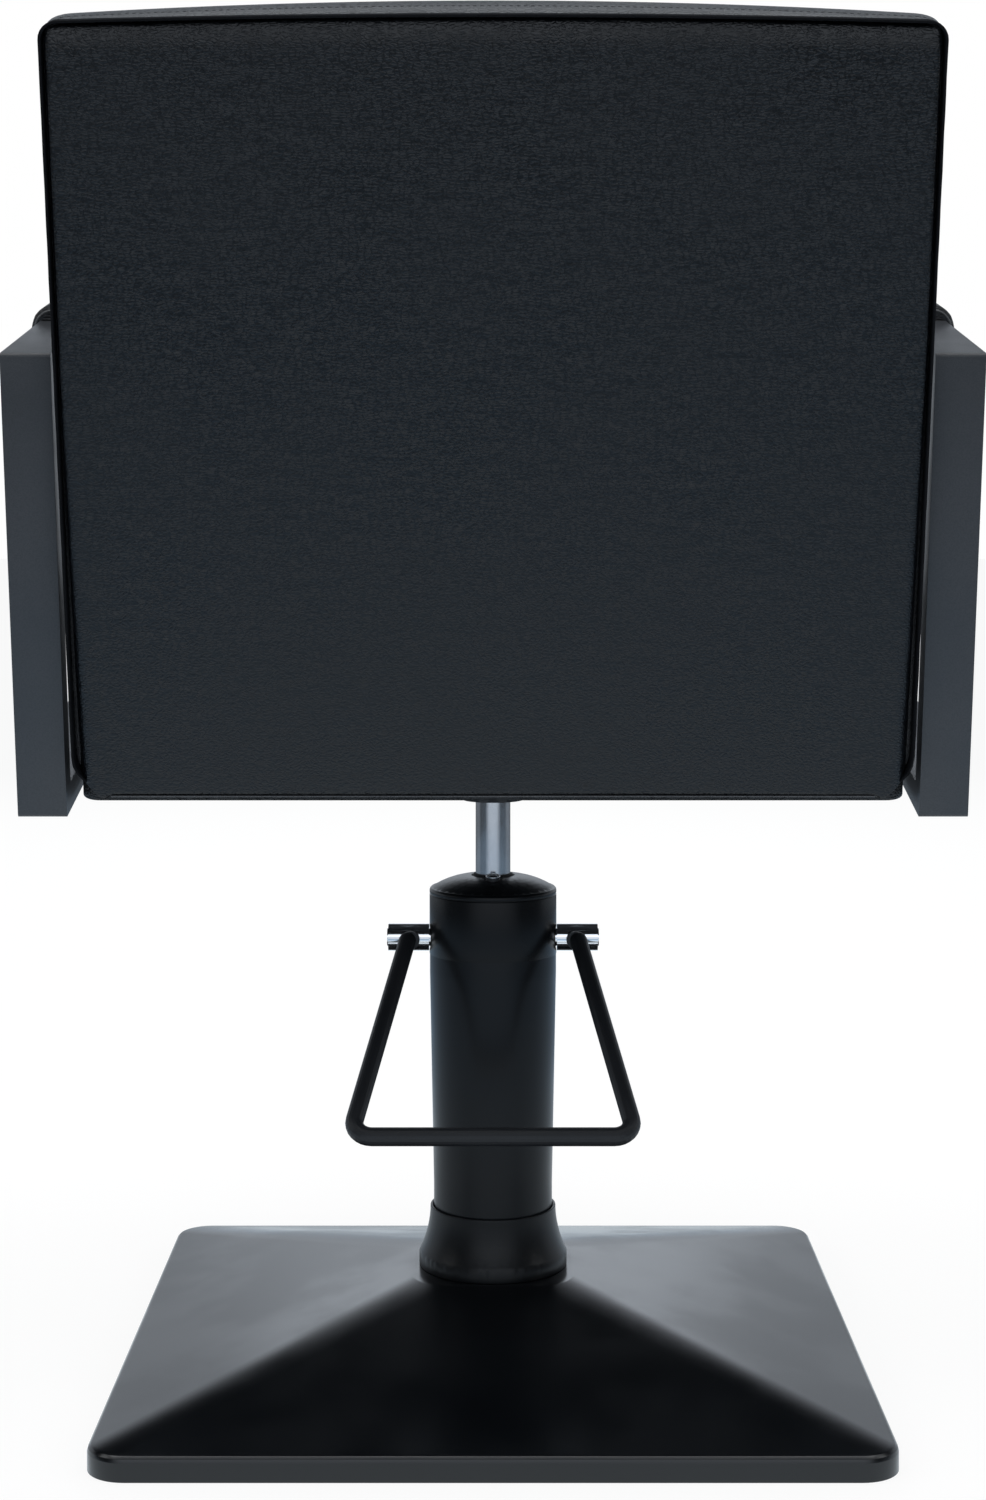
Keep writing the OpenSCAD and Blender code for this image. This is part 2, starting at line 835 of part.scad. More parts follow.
// Coil spring round the plunger: one tube of spring_sides flats
module plunger_spring() {
    low_h = barrel_top_h + spring_wire_r + face_gap;
    high_h = plunger_top_h - plunger_head_h - spring_wire_r - face_gap;
    n = spring_turns * spring_steps;
    points = [for (k = [0 : n], i = [0 : spring_sides - 1])
        let (turn = 360 * k / spring_steps, a = -360 * i / spring_sides,
            r = spring_coil_r + spring_wire_r * cos(a))
        [r * cos(turn), r * sin(turn), low_h + (high_h - low_h) * k / n + spring_wire_r * sin(a)]];
    ends = [
        [spring_coil_r, 0, low_h],
        [spring_coil_r * cos(360 * spring_turns), spring_coil_r * sin(360 * spring_turns), high_h]
    ];
    color("#a9aeb2")
        translate([0, plunger_y, 0])
            polyhedron(concat(points, ends), stack_faces(spring_sides, n + 1), convexity = 10);
}

// Lift

module lift_piston() {
    groove_h = piston_foot_h + (piston_h - seal_h) / 2;
    color("#8b9197")
        difference() {
            translate([0, 0, piston_foot_h]) cylinder(r = piston_r, h = piston_h);
            translate([0, 0, groove_h]) tube(bore_r + over, piston_r - seal_depth, seal_h);
            translate([0, 0, piston_top_h - spindle_len + bearing_t - face_gap])
                cylinder(r = spindle_r + running_gap, h = spindle_len + over);
        }
}

module piston_seal() {
    color("#0c0d0e")
        translate([0, 0, piston_foot_h + (piston_h - seal_h) / 2])
            tube(bore_r - running_gap / 2, piston_r - seal_depth, seal_h);
}

module swivel_bearing() {
    race_gap = running_gap;
    color("#c7cacd")
        translate([0, 0, piston_top_h])
            tube(bearing_r, spindle_r + running_gap, bearing_t - race_gap);
}

module piston_rod() {
    color("#d5d8da") {
        translate([0, 0, rod_foot_h])
            cylinder(r = rod_r, h = hub_foot_h + bracket_h - rod_top_drop - rod_foot_h);
        translate([0, 0, rod_foot_h - spindle_len]) cylinder(r = spindle_r, h = spindle_len + over);
    }
}

// Seat unit

// Half space under the bracket plate's lower face
module under_plate() {
    seat_frame() translate([-seat_w / 2, bracket_y - seat_w / 2, -seat_w - bracket_t])
        cube([seat_w, seat_w, seat_w]);
}

module plate_bolt_places() {
    step = bracket_w * plate_bolt_share;
    seat_frame() for (x = [-1, 1], y = [-1, 1])
        translate([x * step, bracket_y + y * step, 0]) children();
}

module seat_bracket() {
    gusset_run = bracket_w * gusset_share;
    color("#1a1c1f")
        difference() {
            union() {
                intersection() {
                    union() {
                        translate([0, 0, hub_foot_h]) cylinder(r = hub_r, h = 2 * bracket_h);
                        translate([0, 0, hub_foot_h + bracket_h * hub_flare_share])
                            cylinder(r1 = hub_r, r2 = hub_flare_r,
                                h = bracket_h * (1 - hub_flare_share));
                        for (a = [45 : 90 : 315])
                            rotate(a) translate([0, gusset_t / 2, hub_foot_h + hub_bolt_rise])
                                rotate([90, 0, 0]) linear_extrude(gusset_t) polygon([
                                    [hub_r - over, hub_bolt_rise + hub_bolt_head_r],
                                    [hub_r, hub_bolt_rise + hub_bolt_head_r],
                                    [gusset_run, bracket_h * (1 - hub_flare_share / 2)],
                                    [gusset_run, 2 * bracket_h],
                                    [hub_r - over, 2 * bracket_h]
                                ]);
                    }
                    under_plate();
                }
                seat_frame() translate([0, bracket_y, -bracket_t])
                    slab(bracket_w, bracket_w, bracket_t, bracket_corner_r);
            }
            translate([0, 0, hub_foot_h - over])
                cylinder(r = rod_r, h = bracket_h - rod_top_drop + over);
            plate_bolt_places() translate([0, 0, -bracket_t - over])
                cylinder(r = plate_bolt_r, h = bracket_t + 2 * over);
            hub_bolt_places() translate([0, 0, -3 * over]) cylinder(r = hub_bolt_r, h = hub_r);
        }
}

// Two clamp screws in the hub's rear side, pointing out of the hub
module hub_bolt_places() {
    for (x = [-1, 1])
        translate([x * hub_bolt_x, hub_bolt_y, hub_foot_h + hub_bolt_rise]) rotate([-90, 0, 0])
            children();
}

module hub_bolts() {
    seat_y = hub_r - hub_bolt_y;
    socket_share = 0.5;
    color("#101214")
        hub_bolt_places() difference() {
            union() {
                translate([0, 0, face_gap]) cylinder(r = hub_bolt_r, h = seat_y);
                translate([0, 0, seat_y]) cylinder(r = hub_bolt_head_r, h = hub_bolt_head_h);
            }
            translate([0, 0, seat_y + hub_bolt_head_h * socket_share])
                cylinder(r = hub_bolt_r * socket_share, h = hub_bolt_head_h, $fn = 6);
        }
}

module plate_bolts() {
    head_h = plate_bolt_r * bolt_head_h_share;
    shank = bracket_t + plate_bolt_bite;
    color("#9aa0a6")
        plate_bolt_places() {
            translate([0, 0, -bracket_t]) cylinder(r = plate_bolt_r, h = shank);
            translate([0, 0, -bracket_t - head_h])
                cylinder(r = plate_bolt_r * bolt_head_share, h = head_h, $fn = 6);
        }
}

// Places of the bolts that join an arm loop to the seat board, at the board's edge
module frame_bolt_places() {
    for (share = frame_bolt_shares)
        translate([0, -loop_depth * share, tube_t / 2]) children();
}

module seat_board() {
    len = seat_front - board_rear - board_inset;
    half_w = seat_w / 2 - board_inset;
    color("#b48a58")
        difference() {
            seat_frame() translate([0, -board_rear - len / 2, dust_t])
                slab(2 * half_w, len, board_t, board_corner_r);
            plate_bolt_places() cylinder(r = plate_bolt_r, h = plate_bolt_bite);
            seat_frame() both_sides() frame_bolt_places()
                translate([half_w - frame_bolt_bite, 0, 0]) x_bar(frame_bolt_r, frame_bolt_bite + over);
            seat_frame() strap_board_bolts() strap_bolt_shank();
        }
}

module dust_cover() {
    len = seat_front - board_rear - board_inset - 2 * dust_margin;
    color("#1b1b1d")
        difference() {
            seat_frame() translate([0, -board_rear - dust_margin - len / 2, 0])
                slab(seat_w - 2 * (board_inset + dust_margin), len, dust_t, board_corner_r);
            plate_bolt_places() cylinder(r = plate_bolt_r, h = plate_bolt_bite);
        }
}

module seat_cushion() {
    rings = cushion_rings(cushion_t, seat_low_edge_r, seat_edge_r, seat_belly, seat_crown,
        seat_crown_reach);
    bow = [-seat_pull, -seat_pull, 0];
    color("#0f1114")
        seat_frame() difference() {
            translate([0, -seat_front, board_top + soft_gap])
                cushion(seat_w, seat_len, seat_corner_r, seat_corner_r / 2, bow, rings,
                    seat_front_share);
            both_sides() translate([strap_x - strap_w / 2 - strap_gap, -board_rear - strap_leg,
                board_top - over])
                cube([strap_w + 2 * strap_gap, strap_leg, over + strap_t + strap_bolt_head_h + strap_gap]);
        }
}

// Closed loop of rectangular tube with welded-in bolt sleeves and a vent hole
module arm_frame() {
    seat_frame() translate([frame_in_x, 0, 0])
        difference() {
            union() {
                difference() {
                    along_x(tube_w) loop_outline(0);
                    translate([tube_wall, 0, 0]) along_x(tube_w - 2 * tube_wall) loop_outline(tube_wall);
                }
                frame_bolt_places() x_bar(frame_sleeve_r, tube_w);
            }
            frame_bolt_places() translate([-over, 0, 0]) x_bar(frame_bolt_r, tube_w + 2 * over);
            frame_bolt_places() translate([tube_w - frame_bolt_recess, 0, 0])
                x_bar(frame_bolt_head_r, frame_bolt_recess + over);
            translate([-over, -loop_depth / 2, tube_t / 2]) x_bar(vent_r, tube_wall + 2 * over);
        }
}

// Ring of the loop in Y and Z, drawn in from all its faces
module loop_outline(inset) {
    difference() {
        translate([-loop_depth / 2, loop_h / 2])
            rounded_rect(loop_depth - 2 * inset, loop_h - 2 * inset, loop_corner_r);
        translate([-loop_depth + tube_t - inset, tube_t - inset])
            square([loop_depth - 2 * (tube_t - inset), loop_h - 2 * (tube_t - inset)]);
    }
}

module left_arm_frame() {
    color("#1d1f22") arm_frame();
}

module right_arm_frame() {
    color("#1d1f22") mirror([1, 0, 0]) arm_frame();
}

module frame_bolts() {
    end_x = frame_out_x - frame_bolt_recess;
    start_x = seat_w / 2 - board_inset - frame_bolt_bite;
    color("#2a2c2e")
        seat_frame() both_sides() frame_bolt_places() difference() {
            union() {
                translate([start_x, 0, 0]) x_bar(frame_bolt_r, end_x - start_x);
                translate([end_x, 0, 0]) x_bar(frame_bolt_head_r, frame_bolt_head_h);
            }
            translate([end_x + frame_bolt_head_h / 2, 0, 0]) rotate([0, 90, 0])
                cylinder(r = frame_bolt_r / 2, h = frame_bolt_head_h, $fn = 6);
        }
}

module frame_spacers() {
    start_x = seat_w / 2 - board_inset;
    color("#1a1a1c")
        seat_frame() both_sides() frame_bolt_places() translate([start_x, 0, 0])
            rotate([0, 90, 0]) tube(spacer_r, frame_bolt_r, frame_in_x - start_x);
}

// Padded sleeve round the top bar, with rolled top edges and rounded ends
module arm_pad() {
    w = tube_w + 2 * pad_side;
    h = tube_t + pad_top + pad_under;
    low_r = pad_under;
    seat_frame() translate([frame_in_x + tube_w / 2, -pad_start, loop_h - tube_t - pad_under])
        difference() {
            intersection() {
                rotate([90, 0, 0]) linear_extrude(pad_len) union() {
                    translate([0, (h - pad_round_r) / 2 + low_r / 2])
                        square([w, h - pad_round_r - low_r], center = true);
                    translate([0, h / 2]) square([w - 2 * pad_round_r, h], center = true);
                    translate([0, low_r]) square([w - 2 * low_r, 2 * low_r], center = true);
                    for (x = [-1, 1]) {
                        translate([x * (w / 2 - pad_round_r), h - pad_round_r]) circle(pad_round_r);
                        translate([x * (w / 2 - low_r), low_r]) circle(low_r);
                    }
                }
                translate([0, -pad_len / 2, -over])
                    slab(w + over, pad_len, h + 2 * over, pad_end_r);
            }
            translate([-tube_w / 2 - pad_fit, -pad_len - over, pad_under - pad_fit])
                cube([tube_w + 2 * pad_fit, pad_len + 2 * over, tube_t + 2 * pad_fit]);
        }
}

module left_arm_pad() {
    color("#101215") arm_pad();
}

module right_arm_pad() {
    color("#101215") mirror([1, 0, 0]) arm_pad();
}

// Back unit

module back_cushion_shape(t, low_edge, top_edge, crown, reach, inset) {
    rings = cushion_rings(t, low_edge, top_edge, back_belly, crown, reach);
    translate([0, 0, inset]) rotate([90, 0, 0])
        cushion(2 * (back_half_w - inset), back_h - 2 * inset, back_low_r, back_top_r,
            [0, -back_pull, back_rise], rings, 1);
}

module back_rear_panel() {
    color("#0f1216")
        back_frame() translate([0, -rear_panel_t, 0]) mirror([0, 1, 0])
            back_cushion_shape(rear_panel_t, back_rear_edge_r / 2, back_panel_edge_r / 2,
                back_panel_crown, back_panel_reach, 0);
}

module back_board() {
    w = 2 * (back_half_w - back_board_inset);
    h = back_h - 2 * back_board_inset;
    color("#b48a58")
        back_frame() difference() {
            translate([0, back_board_y, back_board_inset + h / 2])
                rotate([90, 0, 0]) slab(w, h, back_board_t, back_board_inset * 2);
            strap_back_bolts() strap_bolt_shank();
            translate([-screw_x, -screw_y, 0]) cylinder(r = screw_r, h = back_board_inset + screw_bite);
        }
}

module back_cushion() {
    color("#0f1114")
        back_frame() difference() {
            translate([0, back_front_y, 0])
                back_cushion_shape(back_front_t, back_rear_edge_r, back_edge_r, back_crown,
                    back_crown_reach, 0);
            both_sides() translate([strap_x - strap_w / 2 - strap_gap,
                strap_y - strap_t - strap_bolt_head_h - strap_gap, -over])
                cube([strap_w + 2 * strap_gap, strap_t + strap_bolt_head_h + strap_gap + over,
                    strap_rise + over + strap_gap]);
            both_sides() translate([strap_x - strap_w / 2 - strap_gap, -back_t - over, -over])
                cube([strap_w + 2 * strap_gap, back_t, over + strap_t + strap_gap]);
        }
}

// Bolt places on a strap's level leg and on its upright leg, heads pointing out of the board
module strap_board_bolts() {
    both_sides() for (share = strap_board_bolt_shares)
        translate([strap_x, -board_rear - strap_leg * share, board_top]) children();
}

module strap_back_bolts() {
    both_sides() for (share = strap_back_bolt_shares)
        translate([strap_x, strap_y, strap_rise * share]) rotate([90, 0, 0]) children();
}

module strap_bolt_shank() {
    translate([0, 0, -strap_bolt_bite]) cylinder(r = strap_bolt_r, h = strap_bolt_bite + over);
}

module strap_bolt() {
    translate([0, 0, -strap_bolt_bite]) cylinder(r = strap_bolt_r, h = strap_bolt_bite + strap_t);
    translate([0, 0, strap_t]) cylinder(r = strap_bolt_head_r, h = strap_bolt_head_h);
}

// Two flat steel straps, bent up from the seat board into the back
module back_straps() {
    color("#3a3d41")
        both_sides() difference() {
            union() {
                seat_frame() translate([strap_x - strap_w / 2, -board_rear - strap_leg, board_top])
                    cube([strap_w, strap_leg + board_rear + strap_y + back_foot_y + strap_t / 2, strap_t]);
                back_frame() translate([strap_x - strap_w / 2, strap_y - strap_t, -strap_t / 4])
                    cube([strap_w, strap_t, strap_rise + strap_t / 4]);
            }
            seat_frame() strap_board_bolts() cylinder(r = strap_bolt_r, h = strap_t + over);
            back_frame() strap_back_bolts() cylinder(r = strap_bolt_r, h = strap_t + over);
        }
}

module strap_bolts() {
    color("#9aa0a6") {
        seat_frame() strap_board_bolts() strap_bolt();
        back_frame() strap_back_bolts() strap_bolt();
    }
}

// Screw that closes the cover under the back's right lower corner
module bottom_screw() {
    color("#c9ccd0")
        back_frame() translate([-screw_x, -screw_y, 0]) {
            cylinder(r = screw_r, h = back_board_inset + screw_bite);
            translate([0, 0, -screw_head_h]) cylinder(r = screw_head_r, h = screw_head_h);
        }
}

base_cover();
base_plate();
anti_slip_pads();
pump_flange();
flange_bolts();
base_collar();
pump_housing();
pump_cap();
lift_cylinder();
cylinder_gland();
rod_guide_bush();
rod_wiper();
filler_plug();
pivot_bushes();
pump_barrel();
pivot_shafts();
pivot_sleeves();
pedal_bosses();
pedal_loop();
pedal_yoke();
pump_plunger();
plunger_spring();
lift_piston();
piston_seal();
swivel_bearing();
piston_rod();
seat_bracket();
hub_bolts();
plate_bolts();
seat_board();
dust_cover();
seat_cushion();
left_arm_frame();
right_arm_frame();
frame_bolts();
frame_spacers();
left_arm_pad();
right_arm_pad();
back_board();
back_cushion();
back_rear_panel();
back_straps();
strap_bolts();
bottom_screw();
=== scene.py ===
import json
import math

import bmesh
import bpy
from mathutils import Matrix, Vector
from mathutils.bvhtree import BVHTree


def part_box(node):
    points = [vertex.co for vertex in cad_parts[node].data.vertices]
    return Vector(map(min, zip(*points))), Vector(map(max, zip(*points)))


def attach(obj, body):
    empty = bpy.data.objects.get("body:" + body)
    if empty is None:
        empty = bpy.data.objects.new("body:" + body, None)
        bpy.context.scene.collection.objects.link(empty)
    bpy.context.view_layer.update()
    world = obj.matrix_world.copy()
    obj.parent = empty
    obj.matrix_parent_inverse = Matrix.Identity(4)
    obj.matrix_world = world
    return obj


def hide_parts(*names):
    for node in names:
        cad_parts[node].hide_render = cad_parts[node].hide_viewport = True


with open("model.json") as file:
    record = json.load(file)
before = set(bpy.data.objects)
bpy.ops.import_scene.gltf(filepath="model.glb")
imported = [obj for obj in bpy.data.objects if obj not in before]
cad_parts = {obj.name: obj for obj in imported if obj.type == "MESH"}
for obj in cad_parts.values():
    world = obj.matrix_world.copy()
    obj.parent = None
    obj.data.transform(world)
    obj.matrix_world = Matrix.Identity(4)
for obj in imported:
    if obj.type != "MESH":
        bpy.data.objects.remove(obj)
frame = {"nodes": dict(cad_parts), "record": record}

scene = bpy.context.scene
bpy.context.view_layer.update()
nodes = frame["nodes"]

# Camera: level, straight behind the chair
PHOTO_H = 1500
FOCAL_PX = 2550
HORIZON_PX = 505
SENSOR = 36.0
EYE_BACK, EYE_HEIGHT = 2.0117, 0.6642
camera_data = bpy.data.cameras.new("camera")
camera_data.sensor_width = SENSOR
camera_data.lens = FOCAL_PX / PHOTO_H * SENSOR
camera_data.shift_y = (HORIZON_PX - PHOTO_H / 2) / PHOTO_H
camera = bpy.data.objects.new("camera", camera_data)
camera.location = (0, EYE_BACK, EYE_HEIGHT)
camera.rotation_euler = (math.radians(90), 0, math.radians(180))
scene.collection.objects.link(camera)
scene.camera = camera
scene.view_settings.view_transform = "Standard"

# Body and material slot of each node
RECORD = frame["record"]
BODIES = {node: body for body, members in RECORD["behaviour"]["bodies"].items() for node in members}
SLOTS = {part["node"]: part["material_slot"] for part in RECORD["subparts"]}

# Sizes shared by several pieces, in metres; the filler's lean in degrees
SEAT_TILT = math.radians(12)
BACK_LEAN = math.radians(3.5)
SETBACK = 0.216
FOOT_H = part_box("left_arm_frame")[0][2]
FILLER_LEAN = 10

seat_frame = Matrix.Translation((0, SETBACK, FOOT_H)) @ Matrix.Rotation(-SEAT_TILT, 4, "X")
back_frame = seat_frame @ Matrix.Translation((0, 0.012, 0.020)) @ Matrix.Rotation(-BACK_LEAN, 4, "X")


# Hand tools

def select_only(piece):
    if bpy.context.object and bpy.context.object.mode != "OBJECT":
        bpy.ops.object.mode_set(mode="OBJECT")
    bpy.ops.object.select_all(action="DESELECT")
    piece.select_set(True)
    bpy.context.view_layer.objects.active = piece


def named(name):
    piece = bpy.context.object
    piece.name = name
    piece.data.name = name
    return piece


def edit(piece, kind="FACE"):
    select_only(piece)
    bpy.ops.object.mode_set(mode="EDIT")
    bpy.ops.mesh.select_mode(type=kind)
    bpy.ops.mesh.select_all(action="DESELECT")
    return bmesh.from_edit_mesh(piece.data)


def pick(piece, items, test):
    for item in items:
        if test(item):
            item.select_set(True)
    bmesh.update_edit_mesh(piece.data)


def leave_edit():
    bpy.ops.object.mode_set(mode="OBJECT")


def apply_modifiers(piece):
    select_only(piece)
    for modifier in list(piece.modifiers):
        bpy.ops.object.modifier_apply(modifier=modifier.name)


def round_sharp_edges(piece, width, angle=30):
    """Adds a bevel on the edges that turn by more than an angle."""
    bevel = piece.modifiers.new("bevel", "BEVEL")
    bevel.width = width
    bevel.segments = 3
    bevel.limit_method = "ANGLE"
    bevel.angle_limit = math.radians(angle)


def bevel_edges(piece, test, offset, segments):
    """Rounds the edges that pass a test."""
    mesh = edit(piece, "EDGE")
    pick(piece, mesh.edges, test)
    bpy.ops.mesh.bevel(offset=offset, segments=segments, affect="EDGES")
    leave_edit()


def settle(piece, matrix=None):
    """Puts the piece's place into its mesh and leaves its object at the origin."""
    select_only(piece)
    if matrix is not None:
        piece.matrix_world = matrix @ piece.matrix_world
    bpy.ops.object.transform_apply(location=True, rotation=True, scale=True)


def smooth(piece, angle=35):
    select_only(piece)
    bpy.ops.object.shade_smooth_by_angle(angle=math.radians(angle))


def outward(piece):
    edit(piece)
    bpy.ops.mesh.select_all(action="SELECT")
    bpy.ops.mesh.normals_make_consistent(inside=False)
    leave_edit()


def hand_over(piece, material, body):
    piece.data.materials.clear()
    piece.data.materials.append(material)
    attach(piece, body)


def block(name, low, high):
    """A box between two corners, to be shaped further."""
    low, high = Vector(low), Vector(high)
    bpy.ops.object.select_all(action="DESELECT")
    bpy.ops.mesh.primitive_cube_add(size=1, location=(low + high) / 2)
    piece = named(name)
    piece.scale = high - low
    settle(piece)
    return piece


# Node groups shared by several materials

def group(name, inputs, outputs):
    tree = bpy.data.node_groups.new(name, "ShaderNodeTree")
    for label, kind, default in inputs:
        socket = tree.interface.new_socket(label, in_out="INPUT", socket_type=kind)
        if default is not None:
            socket.default_value = default
    for label, kind in outputs:
        tree.interface.new_socket(label, in_out="OUTPUT", socket_type=kind)
    start = tree.nodes.new("NodeGroupInput")
    end = tree.nodes.new("NodeGroupOutput")
    return tree, start, end


def add(tree, kind, **settings):
    node = tree.nodes.new(kind)
    for key, value in settings.items():
        if key in node.inputs:
            node.inputs[key].default_value = value
        else:
            setattr(node, key, value)
    return node


def link(tree, start, out, end, into):
    tree.links.new(start.outputs[out], end.inputs[into])


def maths(tree, operation, a, b=None):
    node = tree.nodes.new("ShaderNodeMath")
    node.operation = operation
    for index, value in enumerate((a, b)):
        if isinstance(value, (int, float)):
            node.inputs[index].default_value = value
        elif value is not None:
            tree.links.new(value, node.inputs[index])
    return node.outputs[0]


def ramp(tree, value, low, high, low_out=0.0, high_out=1.0):
    node = tree.nodes.new("ShaderNodeMapRange")
    node.interpolation_type = "SMOOTHSTEP"
    for key, number in (("From Min", low), ("From Max", high), ("To Min", low_out), ("To Max", high_out)):
        node.inputs[key].default_value = number
    tree.links.new(value, node.inputs["Value"])
    return node.outputs["Result"]


def make_pebble_grain():
    """Embossed leatherette: flat pebbles, wider than tall, with fine creases between them."""
    tree, start, end = group(
        "pebble_grain",
        [("Pebbles per metre", "NodeSocketFloat", 520.0),
         ("Stretch", "NodeSocketVector", (0.55, 1.0, 1.25))],
        [("Height", "NodeSocketFloat"), ("Crease shade", "NodeSocketFloat"), ("Drift", "NodeSocketFloat")])
    place = add(tree, "ShaderNodeTexCoord")
    stretch = add(tree, "ShaderNodeVectorMath", operation="MULTIPLY")
    link(tree, place, "Object", stretch, 0)
    link(tree, start, "Stretch", stretch, 1)
    bend = add(tree, "ShaderNodeTexNoise", Scale=90.0, Detail=2.0)
    link(tree, stretch, 0, bend, "Vector")
    shift = add(tree, "ShaderNodeVectorMath", operation="SCALE")
    shift.inputs["Scale"].default_value = 0.006
    link(tree, bend, "Color", shift, 0)
    warped = add(tree, "ShaderNodeVectorMath", operation="ADD")
    link(tree, stretch, 0, warped, 0)
    link(tree, shift, 0, warped, 1)
    cells = add(tree, "ShaderNodeTexVoronoi", feature="DISTANCE_TO_EDGE")
    link(tree, warped, 0, cells, "Vector")
    link(tree, start, "Pebbles per metre", cells, "Scale")
    fine = add(tree, "ShaderNodeTexNoise", Detail=3.0)
    link(tree, warped, 0, fine, "Vector")
    fine_scale = maths(tree, "MULTIPLY", start.outputs["Pebbles per metre"], 1.7)
    tree.links.new(fine_scale, fine.inputs["Scale"])
    pebble = ramp(tree, cells.outputs["Distance"], 0.0, 0.28)
    height = maths(tree, "MULTIPLY_ADD", pebble, 0.6)
    height.node.inputs[2].default_value = 0.0
    rough = maths(tree, "MULTIPLY", fine.outputs["Fac"], 0.7)
    tree.links.new(maths(tree, "ADD", height, rough), end.inputs["Height"])
    # painted shade: a mask for darkening the colour in the creases between pebbles
    tree.links.new(ramp(tree, cells.outputs["Distance"], 0.10, 0.0), end.inputs["Crease shade"])
    drift = add(tree, "ShaderNodeTexNoise", Scale=7.0, Detail=4.0)
    link(tree, place, "Object", drift, "Vector")
    tree.links.new(ramp(tree, drift.outputs["Fac"], 0.3, 0.7), end.inputs["Drift"])
    return tree


def make_sand_coat():
    """Powder coat: fine sandy bumps and slow changes of tone."""
    tree, start, end = group(
        "sand_coat", [("Grains per metre", "NodeSocketFloat", 900.0)],
        [("Height", "NodeSocketFloat"), ("Speck", "NodeSocketFloat"), ("Drift", "NodeSocketFloat")])
    place = add(tree, "ShaderNodeTexCoord")
    sand = add(tree, "ShaderNodeTexNoise", Detail=4.0, Roughness=0.65)
    link(tree, place, "Object", sand, "Vector")
    link(tree, start, "Grains per metre", sand, "Scale")
    link(tree, sand, "Fac", end, "Height")
    tree.links.new(ramp(tree, sand.outputs["Fac"], 0.42, 0.62), end.inputs["Speck"])
    drift = add(tree, "ShaderNodeTexNoise", Scale=9.0, Detail=5.0)
    link(tree, place, "Object", drift, "Vector")
    tree.links.new(ramp(tree, drift.outputs["Fac"], 0.32, 0.68), end.inputs["Drift"])
    return tree


def make_fine_lines():
    """Turning or drawing marks: thin rings about the piece, given by its height or its length."""
    tree, start, end = group(
        "fine_lines",
        [("Lines per metre", "NodeSocketFloat", 1500.0), ("Along", "NodeSocketVector", (0, 0, 1))],
        [("Height", "NodeSocketFloat"), ("Drift", "NodeSocketFloat")])
    place = add(tree, "ShaderNodeTexCoord")
    along = add(tree, "ShaderNodeVectorMath", operation="MULTIPLY")
    link(tree, place, "Object", along, 0)
    link(tree, start, "Along", along, 1)
    lines = add(tree, "ShaderNodeTexNoise", Detail=2.0)
    link(tree, along, 0, lines, "Vector")
    link(tree, start, "Lines per metre", lines, "Scale")
    link(tree, lines, "Fac", end, "Height")
    drift = add(tree, "ShaderNodeTexNoise", Scale=35.0, Detail=4.0)
    link(tree, place, "Object", drift, "Vector")
    tree.links.new(ramp(tree, drift.outputs["Fac"], 0.3, 0.7), end.inputs["Drift"])
    return tree


pebble_grain = make_pebble_grain()
sand_coat = make_sand_coat()
fine_lines = make_fine_lines()


# Materials

def material(name, roughness=0.5, metallic=0.0, specular=0.5, colour=(0.5, 0.5, 0.5)):
    made = bpy.data.materials.new(name)
    made.use_nodes = True
    tree = made.node_tree
    shader = tree.nodes["Principled BSDF"]
    shader.inputs["Base Color"].default_value = (*colour, 1)
    shader.inputs["Roughness"].default_value = roughness
    shader.inputs["Metallic"].default_value = metallic
    shader.inputs["Specular IOR Level"].default_value = specular
    made.diffuse_color = (*colour, 1)
    return made, tree, shader


def place_group(tree, shared, **values):
    node = tree.nodes.new("ShaderNodeGroup")
    node.node_tree = shared
    for key, value in values.items():
        node.inputs[key.replace("_", " ")].default_value = value
    return node


def mixed(tree, factor, a, b):
    node = tree.nodes.new("ShaderNodeMix")
    node.data_type = "RGBA"
    tree.links.new(factor, node.inputs["Factor"])
    node.inputs["A"].default_value = (*a, 1)
    node.inputs["B"].default_value = (*b, 1)
    return node.outputs["Result"]


def bumped(tree, shader, height, distance):
    bump = tree.nodes.new("ShaderNodeBump")
    bump.inputs["Distance"].default_value = distance
    bump.inputs["Strength"].default_value = 1.0
    tree.links.new(height, bump.inputs["Height"])
    tree.links.new(bump.outputs["Normal"], shader.inputs["Normal"])


def leatherette(name, dark, light, depth=0.0005, rough=(0.40, 0.52), pebbles=420.0,
                stretch=(0.42, 1.0, 1.2), specular=0.42):
    made, tree, shader = material(name, specular=specular, colour=dark)
    grain = place_group(tree, pebble_grain, Pebbles_per_metre=pebbles, Stretch=stretch)
    tone = mixed(tree, grain.outputs["Drift"], dark, light)
    # painted shade: the colour is darkened in the grain's creases
    crease_shade = tree.nodes.new("ShaderNodeMix")
    crease_shade.data_type = "RGBA"
    tree.links.new(grain.outputs["Crease shade"], crease_shade.inputs["Factor"])
    tree.links.new(tone, crease_shade.inputs["A"])
    crease_shade.inputs["B"].default_value = (*(c * 0.45 for c in dark), 1)
    tree.links.new(crease_shade.outputs["Result"], shader.inputs["Base Color"])
    tree.links.new(ramp(tree, grain.outputs["Drift"], 0, 1, *rough), shader.inputs["Roughness"])
    bumped(tree, shader, grain.outputs["Height"], depth)
    return made


def coated(name, dark, light, grains=900.0, depth=0.00012, rough=(0.42, 0.52), specular=0.5):
    made, tree, shader = material(name, specular=specular, colour=dark)
    coat = place_group(tree, sand_coat, Grains_per_metre=grains)
    tone = mixed(tree, coat.outputs["Drift"], dark, light)
    speck = tree.nodes.new("ShaderNodeMix")
    speck.data_type = "RGBA"
    speck.blend_type = "MULTIPLY"
    tree.links.new(coat.outputs["Speck"], speck.inputs["Factor"])
    tree.links.new(tone, speck.inputs["A"])
    speck.inputs["B"].default_value = (0.72, 0.72, 0.74, 1)
    tree.links.new(speck.outputs["Result"], shader.inputs["Base Color"])
    tree.links.new(ramp(tree, coat.outputs["Drift"], 0, 1, *rough), shader.inputs["Roughness"])
    bumped(tree, shader, coat.outputs["Height"], depth)
    return made


